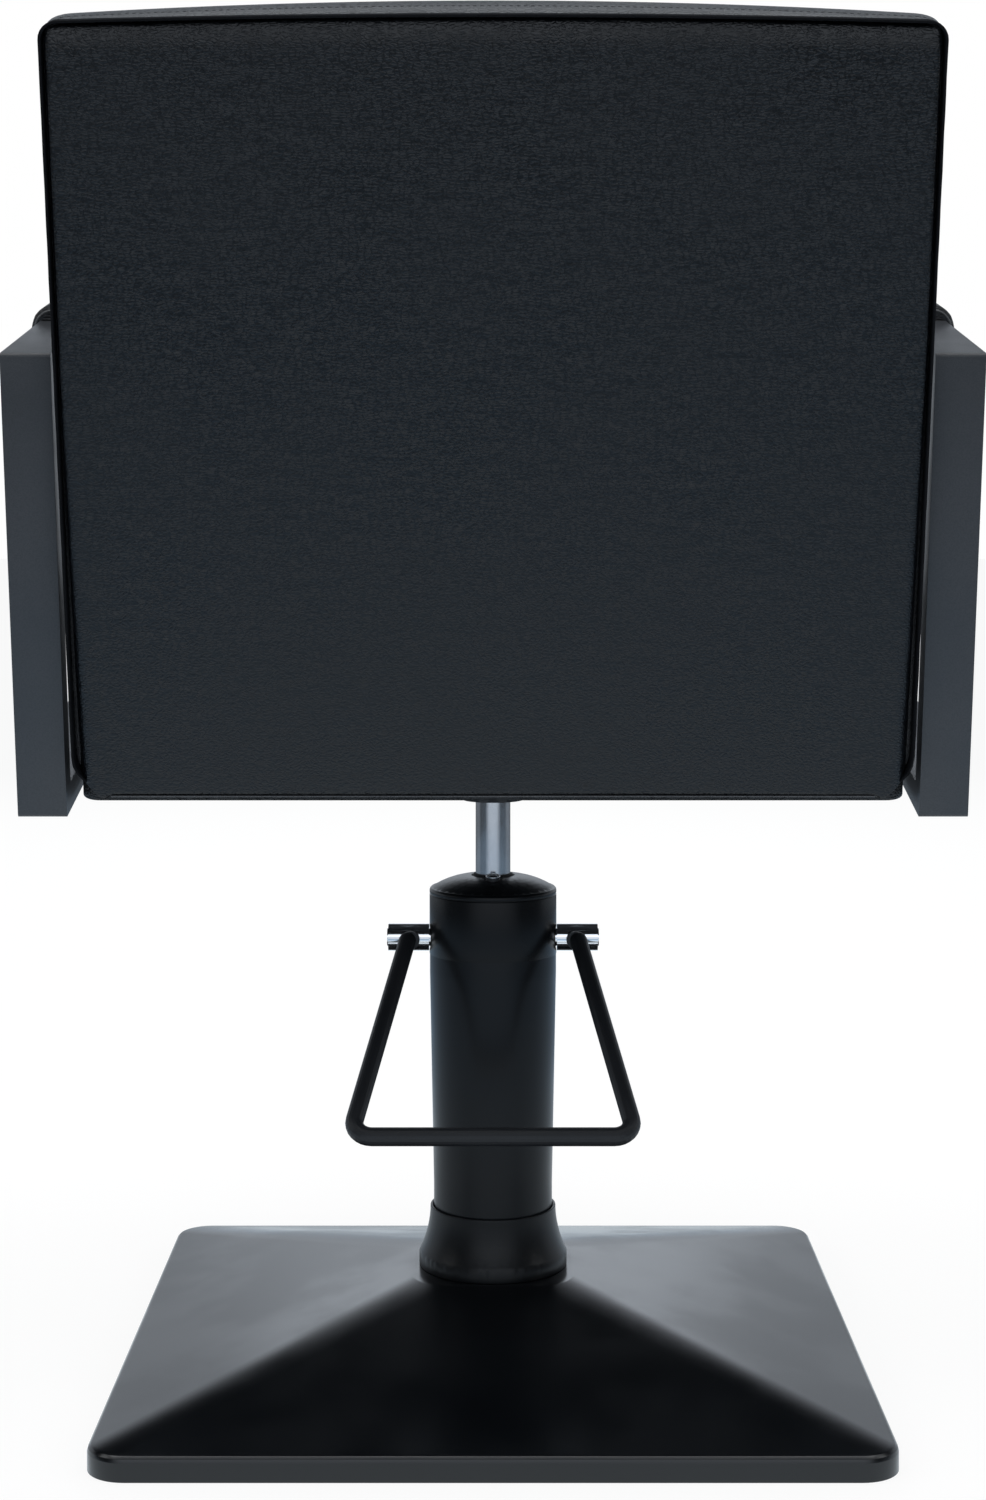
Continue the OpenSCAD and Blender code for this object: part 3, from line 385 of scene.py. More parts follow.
def bright_metal(name, colour, rough, lines=1500.0, along=(0, 0, 1), depth=0.00001):
    made, tree, shader = material(name, metallic=1.0, colour=colour)
    marks = place_group(tree, fine_lines, Lines_per_metre=lines, Along=along)
    dull = tuple(c * 0.86 for c in colour)
    tree.links.new(mixed(tree, marks.outputs["Drift"], colour, dull), shader.inputs["Base Color"])
    tree.links.new(ramp(tree, marks.outputs["Drift"], 0, 1, *rough), shader.inputs["Roughness"])
    bumped(tree, shader, marks.outputs["Height"], depth)
    return made


def plywood():
    made, tree, shader = material("birch_ply", roughness=0.6, colour=(0.55, 0.40, 0.24))
    place = add(tree, "ShaderNodeTexCoord")
    stretch = add(tree, "ShaderNodeMapping")
    stretch.inputs["Scale"].default_value = (3, 60, 60)
    link(tree, place, "Object", stretch, "Vector")
    grain = add(tree, "ShaderNodeTexNoise", Scale=3.0, Detail=6.0)
    link(tree, stretch, "Vector", grain, "Vector")
    tree.links.new(mixed(tree, grain.outputs["Fac"], (0.42, 0.28, 0.15), (0.62, 0.46, 0.29)),
                   shader.inputs["Base Color"])
    bumped(tree, shader, grain.outputs["Fac"], 0.0002)
    return made


back_leather = leatherette("leatherette_back", (0.0028, 0.0036, 0.0050), (0.0042, 0.0052, 0.0070),
                           depth=0.00026, rough=(0.28, 0.36), pebbles=400.0, stretch=(0.62, 1.0, 1.2))
seat_leather = leatherette("leatherette_seat", (0.0050, 0.0058, 0.0072), (0.0072, 0.0084, 0.0102),
                           depth=0.0007, stretch=(0.42, 1.2, 1.0))
# painted light: the boxing strip is a much lighter copy of the black leatherette, standing in for the top
# light falling on it
gusset_leather_painted_light = leatherette("leatherette_gusset_painted_light", (0.0720, 0.0790, 0.0880), (0.0860, 0.0930, 0.1020),
                             depth=0.00025)
welt_leather = leatherette("leatherette_welt", (0.0070, 0.0080, 0.0100), (0.0100, 0.0112, 0.0140),
                           depth=0.00008, rough=(0.85, 0.95), pebbles=900.0, specular=0.10)
# painted highlight: the arm pads' piping is light grey to stand in for the light catching its ridge
piping_painted_highlight = leatherette("piping_painted_highlight", (0.0900, 0.0950, 0.1000), (0.1100, 0.1150, 0.1200),
                           depth=0.00004, rough=(0.30, 0.40), pebbles=900.0)
# painted highlight: the fold strip under the rear panel is light grey to stand in for the light catching
# the fold
fold_highlight_leather = leatherette("leatherette_fold_painted_highlight", (0.0800, 0.0860, 0.0960), (0.1000, 0.1060, 0.1160),
                           depth=0.00005, rough=(0.40, 0.50), pebbles=900.0)
thread = leatherette("black_thread", (0.0260, 0.0280, 0.0320), (0.0400, 0.0420, 0.0470),
                     depth=0.0001, rough=(0.4, 0.5), pebbles=2500.0)
frame_coat = coated("arm_frame_coat", (0.030, 0.033, 0.038), (0.040, 0.043, 0.049), depth=0.00013,
                    rough=(0.36, 0.44), specular=0.7)
base_coat = coated("base_coat", (0.0030, 0.0038, 0.0050), (0.0044, 0.0054, 0.0068), grains=1400.0,
                   depth=0.00003, rough=(0.18, 0.26))
pump_coat = coated("pump_enamel", (0.0050, 0.0062, 0.0080), (0.0075, 0.0090, 0.0112), grains=1800.0,
                   depth=0.00002, rough=(0.28, 0.36), specular=0.22)
cap_coat = coated("cap_enamel", (0.0036, 0.0043, 0.0055), (0.0050, 0.0060, 0.0075), grains=1800.0,
                  depth=0.00002, rough=(0.26, 0.32), specular=0.20)
pedal_coat = coated("pedal_coat", (0.013, 0.015, 0.018), (0.018, 0.020, 0.024), grains=1600.0,
                    depth=0.00004, rough=(0.42, 0.50), specular=0.32)
collar_plastic = coated("collar_plastic", (0.0045, 0.0052, 0.0065), (0.0062, 0.0072, 0.0086),
                        grains=2200.0, depth=0.00002, rough=(0.30, 0.38), specular=0.22)
black_rubber = coated("black_rubber", (0.010, 0.010, 0.010), (0.016, 0.016, 0.016), rough=(0.6, 0.75))
plate_steel = coated("primed_steel", (0.045, 0.047, 0.050), (0.060, 0.062, 0.066), rough=(0.5, 0.6))
black_screw = coated("black_oxide", (0.014, 0.014, 0.015), (0.022, 0.022, 0.024), grains=2500.0,
                     depth=0.00002, rough=(0.32, 0.42))
under_cloth = coated("under_cloth", (0.012, 0.012, 0.013), (0.020, 0.020, 0.022), grains=1200.0,
                     depth=0.0003, rough=(0.85, 0.95), specular=0.2)
chrome = bright_metal("bright_chrome", (0.80, 0.81, 0.83), (0.05, 0.10))
rod_chrome = bright_metal("rod_chrome", (0.74, 0.76, 0.79), (0.12, 0.20), lines=2600.0, along=(1, 1, 0.01),
                          depth=0.00004)
sleeve_chrome = bright_metal("sleeve_chrome", (0.93, 0.93, 0.94), (0.06, 0.12), along=(1, 0, 0))
steel = bright_metal("turned_steel", (0.45, 0.47, 0.49), (0.28, 0.40), depth=0.00003)
bronze = bright_metal("turned_bronze", (0.60, 0.44, 0.22), (0.25, 0.35), depth=0.00003)
zinc = bright_metal("zinc_plate", (0.58, 0.60, 0.62), (0.25, 0.38), depth=0.00002)
birch_ply = plywood()

CAD_MATERIALS = {
    base_coat: ["base_cover"],
    plate_steel: ["base_plate", "pump_flange", "back_straps"],
    black_rubber: ["anti_slip_pads", "rod_wiper", "piston_seal"],
    zinc: ["flange_bolts", "plate_bolts", "strap_bolts", "bottom_screw"],
    collar_plastic: ["base_collar", "frame_spacers"],
    pump_coat: ["pump_housing"],
    cap_coat: ["pump_cap"],
    steel: ["lift_cylinder", "pump_barrel", "pedal_yoke", "pump_plunger", "plunger_spring",
            "lift_piston", "swivel_bearing"],
    bronze: ["cylinder_gland", "rod_guide_bush", "pivot_bushes"],
    rod_chrome: ["piston_rod"],
    sleeve_chrome: ["pivot_shafts", "pivot_sleeves"],
    pedal_coat: ["pedal_bosses", "pedal_loop", "seat_bracket"],
    black_screw: ["hub_bolts", "frame_bolts", "filler_plug"],
    birch_ply: ["seat_board", "back_board"],
    under_cloth: ["dust_cover"],
    frame_coat: ["left_arm_frame", "right_arm_frame"],
    back_leather: ["back_cushion", "back_rear_panel"],
    seat_leather: ["seat_cushion", "left_arm_pad", "right_arm_pad"],
}
for finish, names in CAD_MATERIALS.items():
    for name in names:
        mesh = nodes[name].data
        mesh.materials.clear()
        mesh.materials.append(finish)


# Soft pieces and copies of the hard ones with eased edges

WELD = 0.00005


def eased(node, name, width, finish, angle=30, turned=False):
    """A merged copy of a CAD node with its sharp edges rounded; it stands for that node."""
    source = nodes[node]
    piece = source.copy()
    piece.data = source.data.copy()
    piece.parent = None
    piece.name = piece.data.name = name
    scene.collection.objects.link(piece)
    slot, body = SLOTS[node], BODIES[node]
    edit(piece, "VERT")
    bpy.ops.mesh.select_all(action="SELECT")
    bpy.ops.mesh.remove_doubles(threshold=WELD)
    if not turned:
        bpy.ops.mesh.dissolve_limited(angle_limit=math.radians(1.0))
    leave_edit()
    round_sharp_edges(piece, width, angle)
    apply_modifiers(piece)
    smooth(piece)
    hand_over(piece, finish, body)
    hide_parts(node)


def rounded_block(name, half_w, low, high, front, rear, low_r, top_r, cuts=10):
    """A block standing in X and Z with rounded corners, its long edges cut for later shaping."""
    piece = block(name, (-half_w, front, low), (half_w, rear, high))
    middle = (low + high) / 2
    for side, radius in ((1, top_r), (-1, low_r)):

        def upright_edge(edge):
            a, b = (v.co for v in edge.verts)
            along = abs(a.y - b.y) > 0.5 * (rear - front)
            return along and (a.z - middle) * side > 0 and abs(abs(a.x) - half_w) < 0.0001

        bevel_edges(piece, upright_edge, radius, 6)
    mesh = edit(piece, "EDGE")
    pick(piece, mesh.edges, lambda e: e.calc_length() > 0.3)
    bpy.ops.mesh.subdivide(number_cuts=cuts)
    leave_edit()
    return piece


def voxels(piece, size):
    remesh = piece.modifiers.new("remesh", "REMESH")
    remesh.mode = "VOXEL"
    remesh.voxel_size = size
    remesh.use_smooth_shade = True
    apply_modifiers(piece)


def reshape(piece, move):
    """Moves every point of a mesh by a rule, as a brush would."""
    for vertex in piece.data.vertices:
        vertex.co = move(vertex.co.copy())
    piece.data.update()


def stuff(piece, held, pressure, cap, frames=20):
    """Blows the cover up over its foam; held gives each point's hold from 0 to 1."""
    start = [v.co.copy() for v in piece.data.vertices]
    hold = piece.vertex_groups.new(name="hold")
    for vertex in piece.data.vertices:
        amount = held(vertex.co)
        if amount > 0:
            hold.add([vertex.index], amount, "REPLACE")
    cloth = piece.modifiers.new("stuffing", "CLOTH")
    settings = cloth.settings
    settings.use_pressure = True
    settings.uniform_pressure_force = pressure
    settings.effector_weights.gravity = 0
    settings.vertex_group_mass = "hold"
    settings.tension_stiffness = 40
    settings.compression_stiffness = 40
    settings.bending_stiffness = 2
    settings.quality = 4
    for moment in range(1, frames + 1):
        scene.frame_set(moment)
    apply_modifiers(piece)
    scene.frame_set(1)
    for vertex, first in zip(piece.data.vertices, start):
        step = vertex.co - first
        if step.length > cap:
            vertex.co = first + step * (cap / step.length)
    piece.vertex_groups.clear()
    piece.data.update()


def refit(piece, axis, low, high):
    """Stretches a piece along one axis to lie between two places."""
    places = [vertex.co[axis] for vertex in piece.data.vertices]
    first, last = min(places), max(places)
    for vertex in piece.data.vertices:
        vertex.co[axis] = low + (vertex.co[axis] - first) * (high - low) / (last - first)
    piece.data.update()


def subdivided(piece):
    sub = piece.modifiers.new("subdivision", "SUBSURF")
    sub.levels = sub.render_levels = 1
    apply_modifiers(piece)


def bowl(share):
    """1 in the middle, 0 at the ends, for a share from -1 to 1."""
    return max(0.0, 1 - share * share)


def roll(distance, radius):
    """Drop of a rounded edge at a distance in from it."""
    if distance >= radius:
        return 0.0
    reach = 1 - max(distance, 0) / radius
    return radius * (1 - math.sqrt(max(0.0, 1 - reach * reach)))


# The back: a box cushion with a topstitched seam flange, and a padded rear panel inside it

LIP_HALF_W = 0.2936
LIP_LOW = 0.0015
LIP_TOP = 0.5325
TOP_RISE = 0.0045
PANEL_INSET = 0.0037
BACK_LOW_R, BACK_TOP_R = 0.026, 0.012
STRIP_W = 0.014
STITCH_PITCH = 0.0046


def top_rise(x):
    return TOP_RISE * bowl(x / LIP_HALF_W)


def shape_outline(piece):
    middle = (LIP_LOW + LIP_TOP) / 2
    reshape(piece, lambda p: Vector((
        p.x, p.y, p.z + top_rise(p.x) * max(0, (p.z - middle) / middle))))


def back_pad():
    rear, front = -0.0062, -0.058
    piece = rounded_block("back_pad", LIP_HALF_W - 0.0012, LIP_LOW + 0.001, LIP_TOP - 0.001, front, rear,
                          BACK_LOW_R, BACK_TOP_R)
    voxels(piece, 0.006)
    shape_outline(piece)
    depth = rear - front

    def fill_out(p):
        across, up = p.x / LIP_HALF_W, (p.z - LIP_LOW) / (LIP_TOP - LIP_LOW)
        into = (rear - p.y) / depth
        belly = math.sin(math.pi * min(1, max(0, into))) ** 0.7
        if p.z > LIP_TOP - 0.02:
            p.z += 0.0075 * belly * (0.35 + 0.65 * bowl(across)) * min(1, (p.z - LIP_TOP + 0.02) / 0.012)
        if abs(p.x) > LIP_HALF_W - 0.02:
            p.x += math.copysign(0.0016, p.x) * belly
        if into > 0.5:
            edge = min(LIP_HALF_W - abs(p.x), p.z - LIP_LOW, LIP_TOP + top_rise(p.x) - p.z)
            crown = bowl(across) ** 0.5 * bowl(2 * up - 1) ** 0.5
            p.y -= (0.012 * crown - roll(edge, 0.017)) * min(1, (into - 0.5) * 2.2)
        return p

    reshape(piece, fill_out)

    # only the front swells: the boxing strip at the top and sides keeps its height
    def boxing_strip(p):
        held = p.y > -STRIP_W or p.z > LIP_TOP - STRIP_W or abs(p.x) > LIP_HALF_W - STRIP_W
        return 1.0 if held else 0.0

    stuff(piece, boxing_strip, 3.0, 0.004)
    subdivided(piece)
    smooth(piece, 180)
    sitting_side = [face.center.y < -0.040 for face in piece.data.polygons]
    settle(piece, back_frame)
    hand_over(piece, gusset_leather_painted_light, BODIES["back_cushion"])
    # the sitter's side is cut from the same leatherette as the seat; the rest keeps the lighter gusset
    # copy, a painted top light
    piece.data.materials.append(seat_leather)
    for face, in_front in zip(piece.data.polygons, sitting_side):
        face.material_index = 1 if in_front else 0
    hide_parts("back_cushion")
    return piece


def back_flange():
    """The seam's folded edge that stands up round the rear panel."""
    piece = rounded_block("back_flange", LIP_HALF_W, LIP_LOW, LIP_TOP, -0.0150, -0.0014,
                          BACK_LOW_R, BACK_TOP_R, cuts=40)
    shape_outline(piece)
    mesh = edit(piece, "FACE")
    pick(piece, mesh.faces, lambda f: abs(f.normal.y) > 0.9)
    bpy.ops.mesh.delete(type="ONLY_FACE")
    leave_edit()
    wall = piece.modifiers.new("wall", "SOLIDIFY")
    wall.thickness = 0.0018
    wall.offset = -1
    round_sharp_edges(piece, 0.0007, 50)
    apply_modifiers(piece)

    def waver(p):
        run = p.x * 61 + p.z * 47
        p.y += 0.0004 * math.sin(run * 3.1) + 0.0002 * math.sin(run * 7.7 + 1)
        p.y -= 0.006 * max(0, 1 - p.z / 0.012)
        return p

    reshape(piece, waver)
    smooth(piece, 50)
    settle(piece, back_frame)
    hand_over(piece, welt_leather, BODIES["back_cushion"])


def back_panel():
    half_w = LIP_HALF_W - PANEL_INSET
    low, top = LIP_LOW - 0.0025, LIP_TOP - 0.0026
    bpy.ops.object.select_all(action="DESELECT")
    bpy.ops.mesh.primitive_grid_add(x_subdivisions=170, y_subdivisions=156, size=1)
    piece = named("back_panel")
    height = top - low

    def spread(p):
        # finer rows near the edges
        u = math.sin(p.x * math.pi) / 2
        v = math.sin(p.y * math.pi) / 2
        share = 0.55
        u, v = u * share + p.x * (1 - share), v * share + p.y * (1 - share)
        x, z = 2 * half_w * u, low + height * (v + 0.5)
        radius = 0.011 if z > 0.25 else 0.024
        cx = half_w - radius
        cz = top - radius if z > 0.25 else low + radius
        du = (abs(x) - cx) / radius
        dv = (z - cz) / radius * (1 if z > 0.25 else -1)
        if du > 0 and dv > 0:
            x = math.copysign(cx + radius * du * math.sqrt(1 - dv * dv / 2), x)
            z = cz + radius * dv * math.sqrt(1 - du * du / 2) * (1 if z > 0.25 else -1)
        z += top_rise(x) * max(0, (z - height / 2) / (height / 2))
        return Vector((x, 0, z))

    reshape(piece, spread)
    outward(piece)
    mesh = edit(piece, "EDGE")
    pick(piece, mesh.edges, lambda e: e.is_boundary)
    bpy.ops.mesh.extrude_region_move(TRANSFORM_OT_translate={"value": (0, -0.012, 0)})
    bpy.ops.mesh.extrude_region_move(TRANSFORM_OT_translate={"value": (0, 0, 0)})
    bpy.ops.mesh.merge(type="CENTER")
    leave_edit()
    outward(piece)

    def fill_out(p):
        if p.y < -0.006:
            return p
        side = half_w - abs(p.x)
        over = top + top_rise(p.x) - p.z
        under = p.z - low
        lower = 1 - min(1, p.z / 0.30)
        slope = 0.0044 * max(0, 1 - over / 0.018) ** 2
        drop = max(roll(over, 0.0024), roll(side, 0.0036 + 0.009 * lower) * (0.8 + 0.5 * lower),
                   roll(under, 0.0016)) + slope
        crown = 0.0022 * bowl(p.x / half_w) ** 0.5 * bowl(2 * (p.z - low) / height - 1) ** 0.5
        slack = 0.0003 * math.sin(p.x * 19 + 2 * p.z) * math.sin(p.z * 16 + 1)
        p.y += crown + slack - drop - 0.0012
        tuck = math.exp(-((abs(p.x) - 0.273) / 0.005) ** 2)
        p.z -= 0.0035 * tuck * max(0, 1 - under / 0.014)
        return p

    reshape(piece, fill_out)
    stuff(piece, lambda p: 1.0 if p.y < -0.004 else 0.2, 0.6, 0.0015, frames=12)
    smooth(piece, 180)
    settle(piece, back_frame)
    hand_over(piece, back_leather, BODIES["back_rear_panel"])
    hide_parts("back_rear_panel")


def stitch_row(name, places, headings, normals, finish, body, length=0.0034, radius=0.0006):
    """Short rounded stitches laid on a surface."""
    bpy.ops.object.select_all(action="DESELECT")
    bpy.ops.mesh.primitive_uv_sphere_add(segments=8, ring_count=6, radius=1)
    master = named(name)
    stitches = []
    for place, heading, normal in zip(places, headings, normals):
        copy = master.copy()
        copy.data = master.data.copy()
        side = normal.cross(heading).normalized()
        up = heading.cross(side).normalized()
        turn = Matrix((heading.normalized() * length / 2, side * radius, up * radius * 0.8)).transposed()
        copy.matrix_world = Matrix.Translation(place) @ turn.to_4x4()
        scene.collection.objects.link(copy)
        stitches.append(copy)
    bpy.data.objects.remove(master)
    bpy.ops.object.select_all(action="DESELECT")
    for copy in stitches:
        copy.select_set(True)
    bpy.context.view_layer.objects.active = stitches[0]
    bpy.ops.object.join()
    piece = named(name)
    settle(piece)
    smooth(piece, 180)
    hand_over(piece, finish, body)


def surface(piece):
    mesh = bmesh.new()
    mesh.from_mesh(piece.data)
    tree = BVHTree.FromBMesh(mesh)
    mesh.free()
    return tree


def sewn_line(name, piece, path, out, spacing, finish, body, frame_matrix, sink=0.0001):
    """Stitches along a path, dropped on a piece from outside; path points and out lie in the frame."""
    tree = surface(piece)
    turn = frame_matrix.to_3x3()
    places, headings, normals = [], [], []
    for a, b, away in zip(path, path[1:], out):
        run = (b - a).length
        count = max(1, round(run / spacing))
        for i in range(count):
            point = frame_matrix @ (a + (b - a) * ((i + 0.5) / count))
            ray = turn @ away
            hit, normal, _, _ = tree.ray_cast(point + ray * 0.03, -ray)
            if hit is None:
                continue
            places.append(hit - normal * sink)
            headings.append(turn @ (b - a).normalized())
            normals.append(normal)
    stitch_row(name, places, headings, normals, finish, body, length=spacing * 0.68)


def back_stitches(pad):
    side_y, top_y = -0.0105, -0.0172
    steps = 30
    xs = [-0.282 + 0.564 * i / steps for i in range(steps + 1)]
    path = [Vector((x, top_y, LIP_TOP + top_rise(x))) for x in xs]
    out = [Vector((0, 0, 1))] * steps
    sewn_line("back_top_stitches", pad, path, out, STITCH_PITCH, thread,
              BODIES["back_cushion"], back_frame)
    for side, label in ((1, "left"), (-1, "right")):
        path = [Vector((side * LIP_HALF_W, side_y, 0.03 + 0.49 * i / 20)) for i in range(21)]
        sewn_line("back_" + label + "_stitches", pad, path, [Vector((side, 0, 0))] * 20, STITCH_PITCH,
                  thread, BODIES["back_cushion"], back_frame)


# The seat: a box cushion whose cover wraps the seat board

def seat_pad():
    half_w, rear, front = 0.2965, -0.038, -0.500
    low, top, rise, band = 0.0015, 0.104, 0.014, 0.018
    piece = block("seat_pad", (-half_w + 0.001, front + 0.001, low),
                  (half_w - 0.001, rear - 0.001, top - rise))
    bevel_edges(piece, lambda e: abs(e.verts[0].co.z - e.verts[1].co.z) > 0.05, 0.026, 6)
    voxels(piece, 0.006)

    def fill_out(p):
        along = (p.y - front) / (rear - front)
        across = p.x / half_w
        up = (p.z - low) / (top - rise - low)
        belly = math.sin(math.pi * min(1, max(0, (up - 0.15) / 0.85))) ** 0.7 if up > 0.15 else 0
        edge = min(half_w - abs(p.x), p.y - front, rear - p.y)
        if up > 0.5:
            crown = bowl(across) ** 0.5 * bowl(2 * along - 1) ** 0.5
            p.z += (rise * crown - roll(edge, 0.020)) * min(1, (up - 0.5) * 2.5)
        if abs(p.x) > half_w - 0.02:
            p.x += math.copysign(0.0012, p.x) * belly
        if p.y < front + 0.02:
            p.y -= 0.006 * belly
        # the cushion thins to the front, above the band round the board
        thin = 0.80 + 0.20 * along
        if p.z > low + band:
            p.z = low + band + (p.z - low - band) * thin
        return p

    reshape(piece, fill_out)
    stuff(piece, lambda p: 1.0 if p.z < 0.022 else 0.0, 3.0, 0.004)
    subdivided(piece)
    refit(piece, 0, -half_w, half_w)
    refit(piece, 1, front, -0.0365)
    refit(piece, 2, 0.0006, max(v.co.z for v in piece.data.vertices))
    smooth(piece, 180)
    settle(piece, seat_frame)
    hand_over(piece, seat_leather, BODIES["seat_cushion"])
    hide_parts("seat_cushion")


def seat_hem():
    """The cover's lower band, pulled round the seat board and stapled under it."""
    piece = block("seat_hem", (-0.2956, -0.4990, 0.0004), (0.2956, -0.0335, 0.0195))
    bevel_edges(piece, lambda e: abs(e.verts[0].co.z - e.verts[1].co.z) > 0.01, 0.014, 8)
    round_sharp_edges(piece, 0.0016, 40)
    apply_modifiers(piece)
    smooth(piece)
    settle(piece, seat_frame)
    hand_over(piece, seat_leather, BODIES["seat_cushion"])


# Arm pads: a sleeve round the top bar with a piped seam at its rear end

PAD_START, PAD_LEN = -0.160, 0.270
PAD_MID_X, PAD_HALF_W = 0.31725, 0.0252
PAD_LOW, PAD_TOP = 0.3055, 0.3415


def arm_pad(side):
    label = "left" if side > 0 else "right"
    low, high = PAD_LOW + 0.0006, PAD_TOP - 0.0006
    piece = block(label + "_pad", (PAD_MID_X - PAD_HALF_W + 0.0006, PAD_START - PAD_LEN, low),
                  (PAD_MID_X + PAD_HALF_W - 0.0006, PAD_START, high))

    def runs_along(edge):
        return abs(edge.verts[0].co.y - edge.verts[1].co.y) > 0.1

    bevel_edges(piece, lambda e: runs_along(e) and e.verts[0].co.z > high - 0.001, 0.0175, 8)
    bevel_edges(piece, lambda e: runs_along(e) and e.verts[0].co.z < low + 0.001, 0.006, 4)
    voxels(piece, 0.0028)

    def round_ends(p):
        end = min(PAD_START - p.y, p.y - PAD_START + PAD_LEN)
        fall = roll(end, 0.004) / 0.004
        middle = (low + high) / 2
        p.x = PAD_MID_X + (p.x - PAD_MID_X) * (1 - 0.08 * fall)
        p.z = middle + (p.z - middle) * (1 - 0.10 * fall)
        return p

    reshape(piece, round_ends)
    stuff(piece, lambda p: 0.6 if p.z < low + 0.006 else 0.0, 2.0, 0.0012)
    subdivided(piece)
    refit(piece, 0, PAD_MID_X - PAD_HALF_W, PAD_MID_X + PAD_HALF_W)
    refit(piece, 2, PAD_LOW + 0.0006, PAD_TOP + 0.001)
    smooth(piece, 180)
    if side < 0:
        reshape(piece, lambda p: Vector((-p.x, p.y, p.z)))
        select_only(piece)
        bpy.ops.object.mode_set(mode="EDIT")
        bpy.ops.mesh.select_all(action="SELECT")
        bpy.ops.mesh.flip_normals()
        leave_edit()
    settle(piece, seat_frame)
    node = label + "_arm_pad"
    hand_over(piece, seat_leather, BODIES[node])
    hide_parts(node)


def trim_ring(name, outline, corners, radius, finish, body, matrix):
    """A thin round cord laid along a flat outline with rounded corners.

    outline is (width, height) of a plane in X and Z; corners is the top and the lower radius."""
    width, height = outline
    bpy.ops.object.select_all(action="DESELECT")
    bpy.ops.mesh.primitive_plane_add(size=1, rotation=(math.radians(90), 0, 0))
    piece = named(name)
    piece.scale = (width, height, 1)
    settle(piece)
    for side, size in zip((1, -1), corners):
        mesh = edit(piece, "VERT")
        pick(piece, mesh.verts, lambda v: v.co.z * side > height / 2 - 0.00001)
        bpy.ops.mesh.bevel(offset=size, segments=7, affect="VERTICES")
        leave_edit()
    mesh = edit(piece, "FACE")
    pick(piece, mesh.faces, lambda f: True)
    bpy.ops.mesh.delete(type="ONLY_FACE")
    leave_edit()
    select_only(piece)
    bpy.ops.object.convert(target="CURVE")
    piece = bpy.context.object
    piece.data.bevel_depth = radius
    piece.data.bevel_resolution = 3
    bpy.ops.object.convert(target="MESH")
    piece = named(name)
    smooth(piece, 180)
    outward(piece)
    settle(piece, matrix)
    hand_over(piece, finish, body)


def pad_piping(side):
    """The piping on the rear end of an arm pad, coloured light grey as a painted highlight."""
    label = "left" if side > 0 else "right"
    inset = 0.0042
    outline = (2 * (PAD_HALF_W - inset), PAD_TOP - PAD_LOW - 2 * inset)
    middle = Vector((side * PAD_MID_X, PAD_START - 0.0006, (PAD_LOW + PAD_TOP) / 2))
    node = label + "_arm_pad"
    trim_ring(label + "_pad_piping", outline, (0.013, 0.004), 0.0008, piping_painted_highlight,
              BODIES[node], seat_frame @ Matrix.Translation(middle))


def back_fold():
    """The pressed fold along the rear panel's lower edge, coloured light grey as a painted highlight."""
    piece = block("back_fold", (-0.267, -0.0042, -0.0021), (0.267, -0.0012, -0.0010))
    round_sharp_edges(piece, 0.0004)
    apply_modifiers(piece)
    smooth(piece)
    settle(piece, back_frame)
    hand_over(piece, fold_highlight_leather, BODIES["back_rear_panel"])


def filler_ring():
    """The bright washer round the oil filler's recess."""
    low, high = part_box("filler_plug")
    middle = (Vector(low) + Vector(high)) / 2
    bpy.ops.object.select_all(action="DESELECT")
    bpy.ops.mesh.primitive_torus_add(major_radius=0.0052, minor_radius=0.0005, major_segments=40,
                                     minor_segments=10, location=(0, middle.y, high[2]),
                                     rotation=(math.radians(-FILLER_LEAN), 0, 0))
    piece = named("filler_ring")
    settle(piece)
    smooth(piece, 180)
    hand_over(piece, chrome, BODIES["filler_plug"])


back_cover = back_pad()
back_flange()
back_panel()
back_stitches(back_cover)
seat_pad()
seat_hem()
arm_pad(1)
arm_pad(-1)
for label in ("left", "right"):
    eased(label + "_arm_frame", label + "_loop", 0.0016, frame_coat)
eased("base_cover", "base_shell", 0.003, base_coat, angle=9)
eased("pump_cap", "cap_shell", 0.0004, cap_coat, turned=True)
eased("base_collar", "collar_shell", 0.0006, collar_plastic, turned=True)
filler_ring()
back_fold()
for side in (1, -1):
    pad_piping(side)

# Studio: a white sweep beyond the chair, a soft box behind the camera, a pale ceiling

def make_surroundings():
    """How bright the studio is in a direction, as a shiny face sees it."""
    tree, start, end = group("surroundings", [("Direction", "NodeSocketVector", None)],
                             [("Level", "NodeSocketFloat")])
    split = add(tree, "ShaderNodeSeparateXYZ")
    link(tree, start, "Direction", split, 0)
    y, z = split.outputs["Y"], split.outputs["Z"]
    sweep = maths(tree, "MULTIPLY", ramp(tree, y, 0.05, -0.30), ramp(tree, z, 0.54, 0.36))
    sweep = maths(tree, "MULTIPLY", sweep, ramp(tree, z, -0.12, 0.0, 0.08, 0.70))
    box = maths(tree, "MULTIPLY", ramp(tree, y, 0.62, 0.97), ramp(tree, z, 0.64, 0.52))
    box = maths(tree, "MULTIPLY", box, ramp(tree, z, -0.18, -0.08, 0.0, 0.85))
    box = maths(tree, "MULTIPLY", box, ramp(tree, z, 0.12, 0.30, 1.0, 1.9))
    sides = ramp(tree, z, 0.50, 0.25, 0.01, 0.07)
    ceiling = ramp(tree, z, 0.74, 0.92, 0.0, 0.75)
    aside = maths(tree, "ABSOLUTE", split.outputs["X"])
    strip = maths(tree, "MULTIPLY", ramp(tree, y, -0.60, -0.85), ramp(tree, aside, 0.24, 0.17))
    strip = maths(tree, "MULTIPLY", strip, ramp(tree, z, 0.13, 0.24))
    strip = maths(tree, "MULTIPLY", strip, ramp(tree, z, 0.44, 0.33, 0.0, 0.90))
    sweep = maths(tree, "ADD", sweep, strip)
    low = maths(tree, "ADD", sweep, box)
    high = maths(tree, "ADD", sides, ceiling)
    tree.links.new(maths(tree, "ADD", low, high), end.inputs["Level"])
    return tree


surroundings = make_surroundings()
STUDIO_TINT = (0.84, 0.91, 1.0)


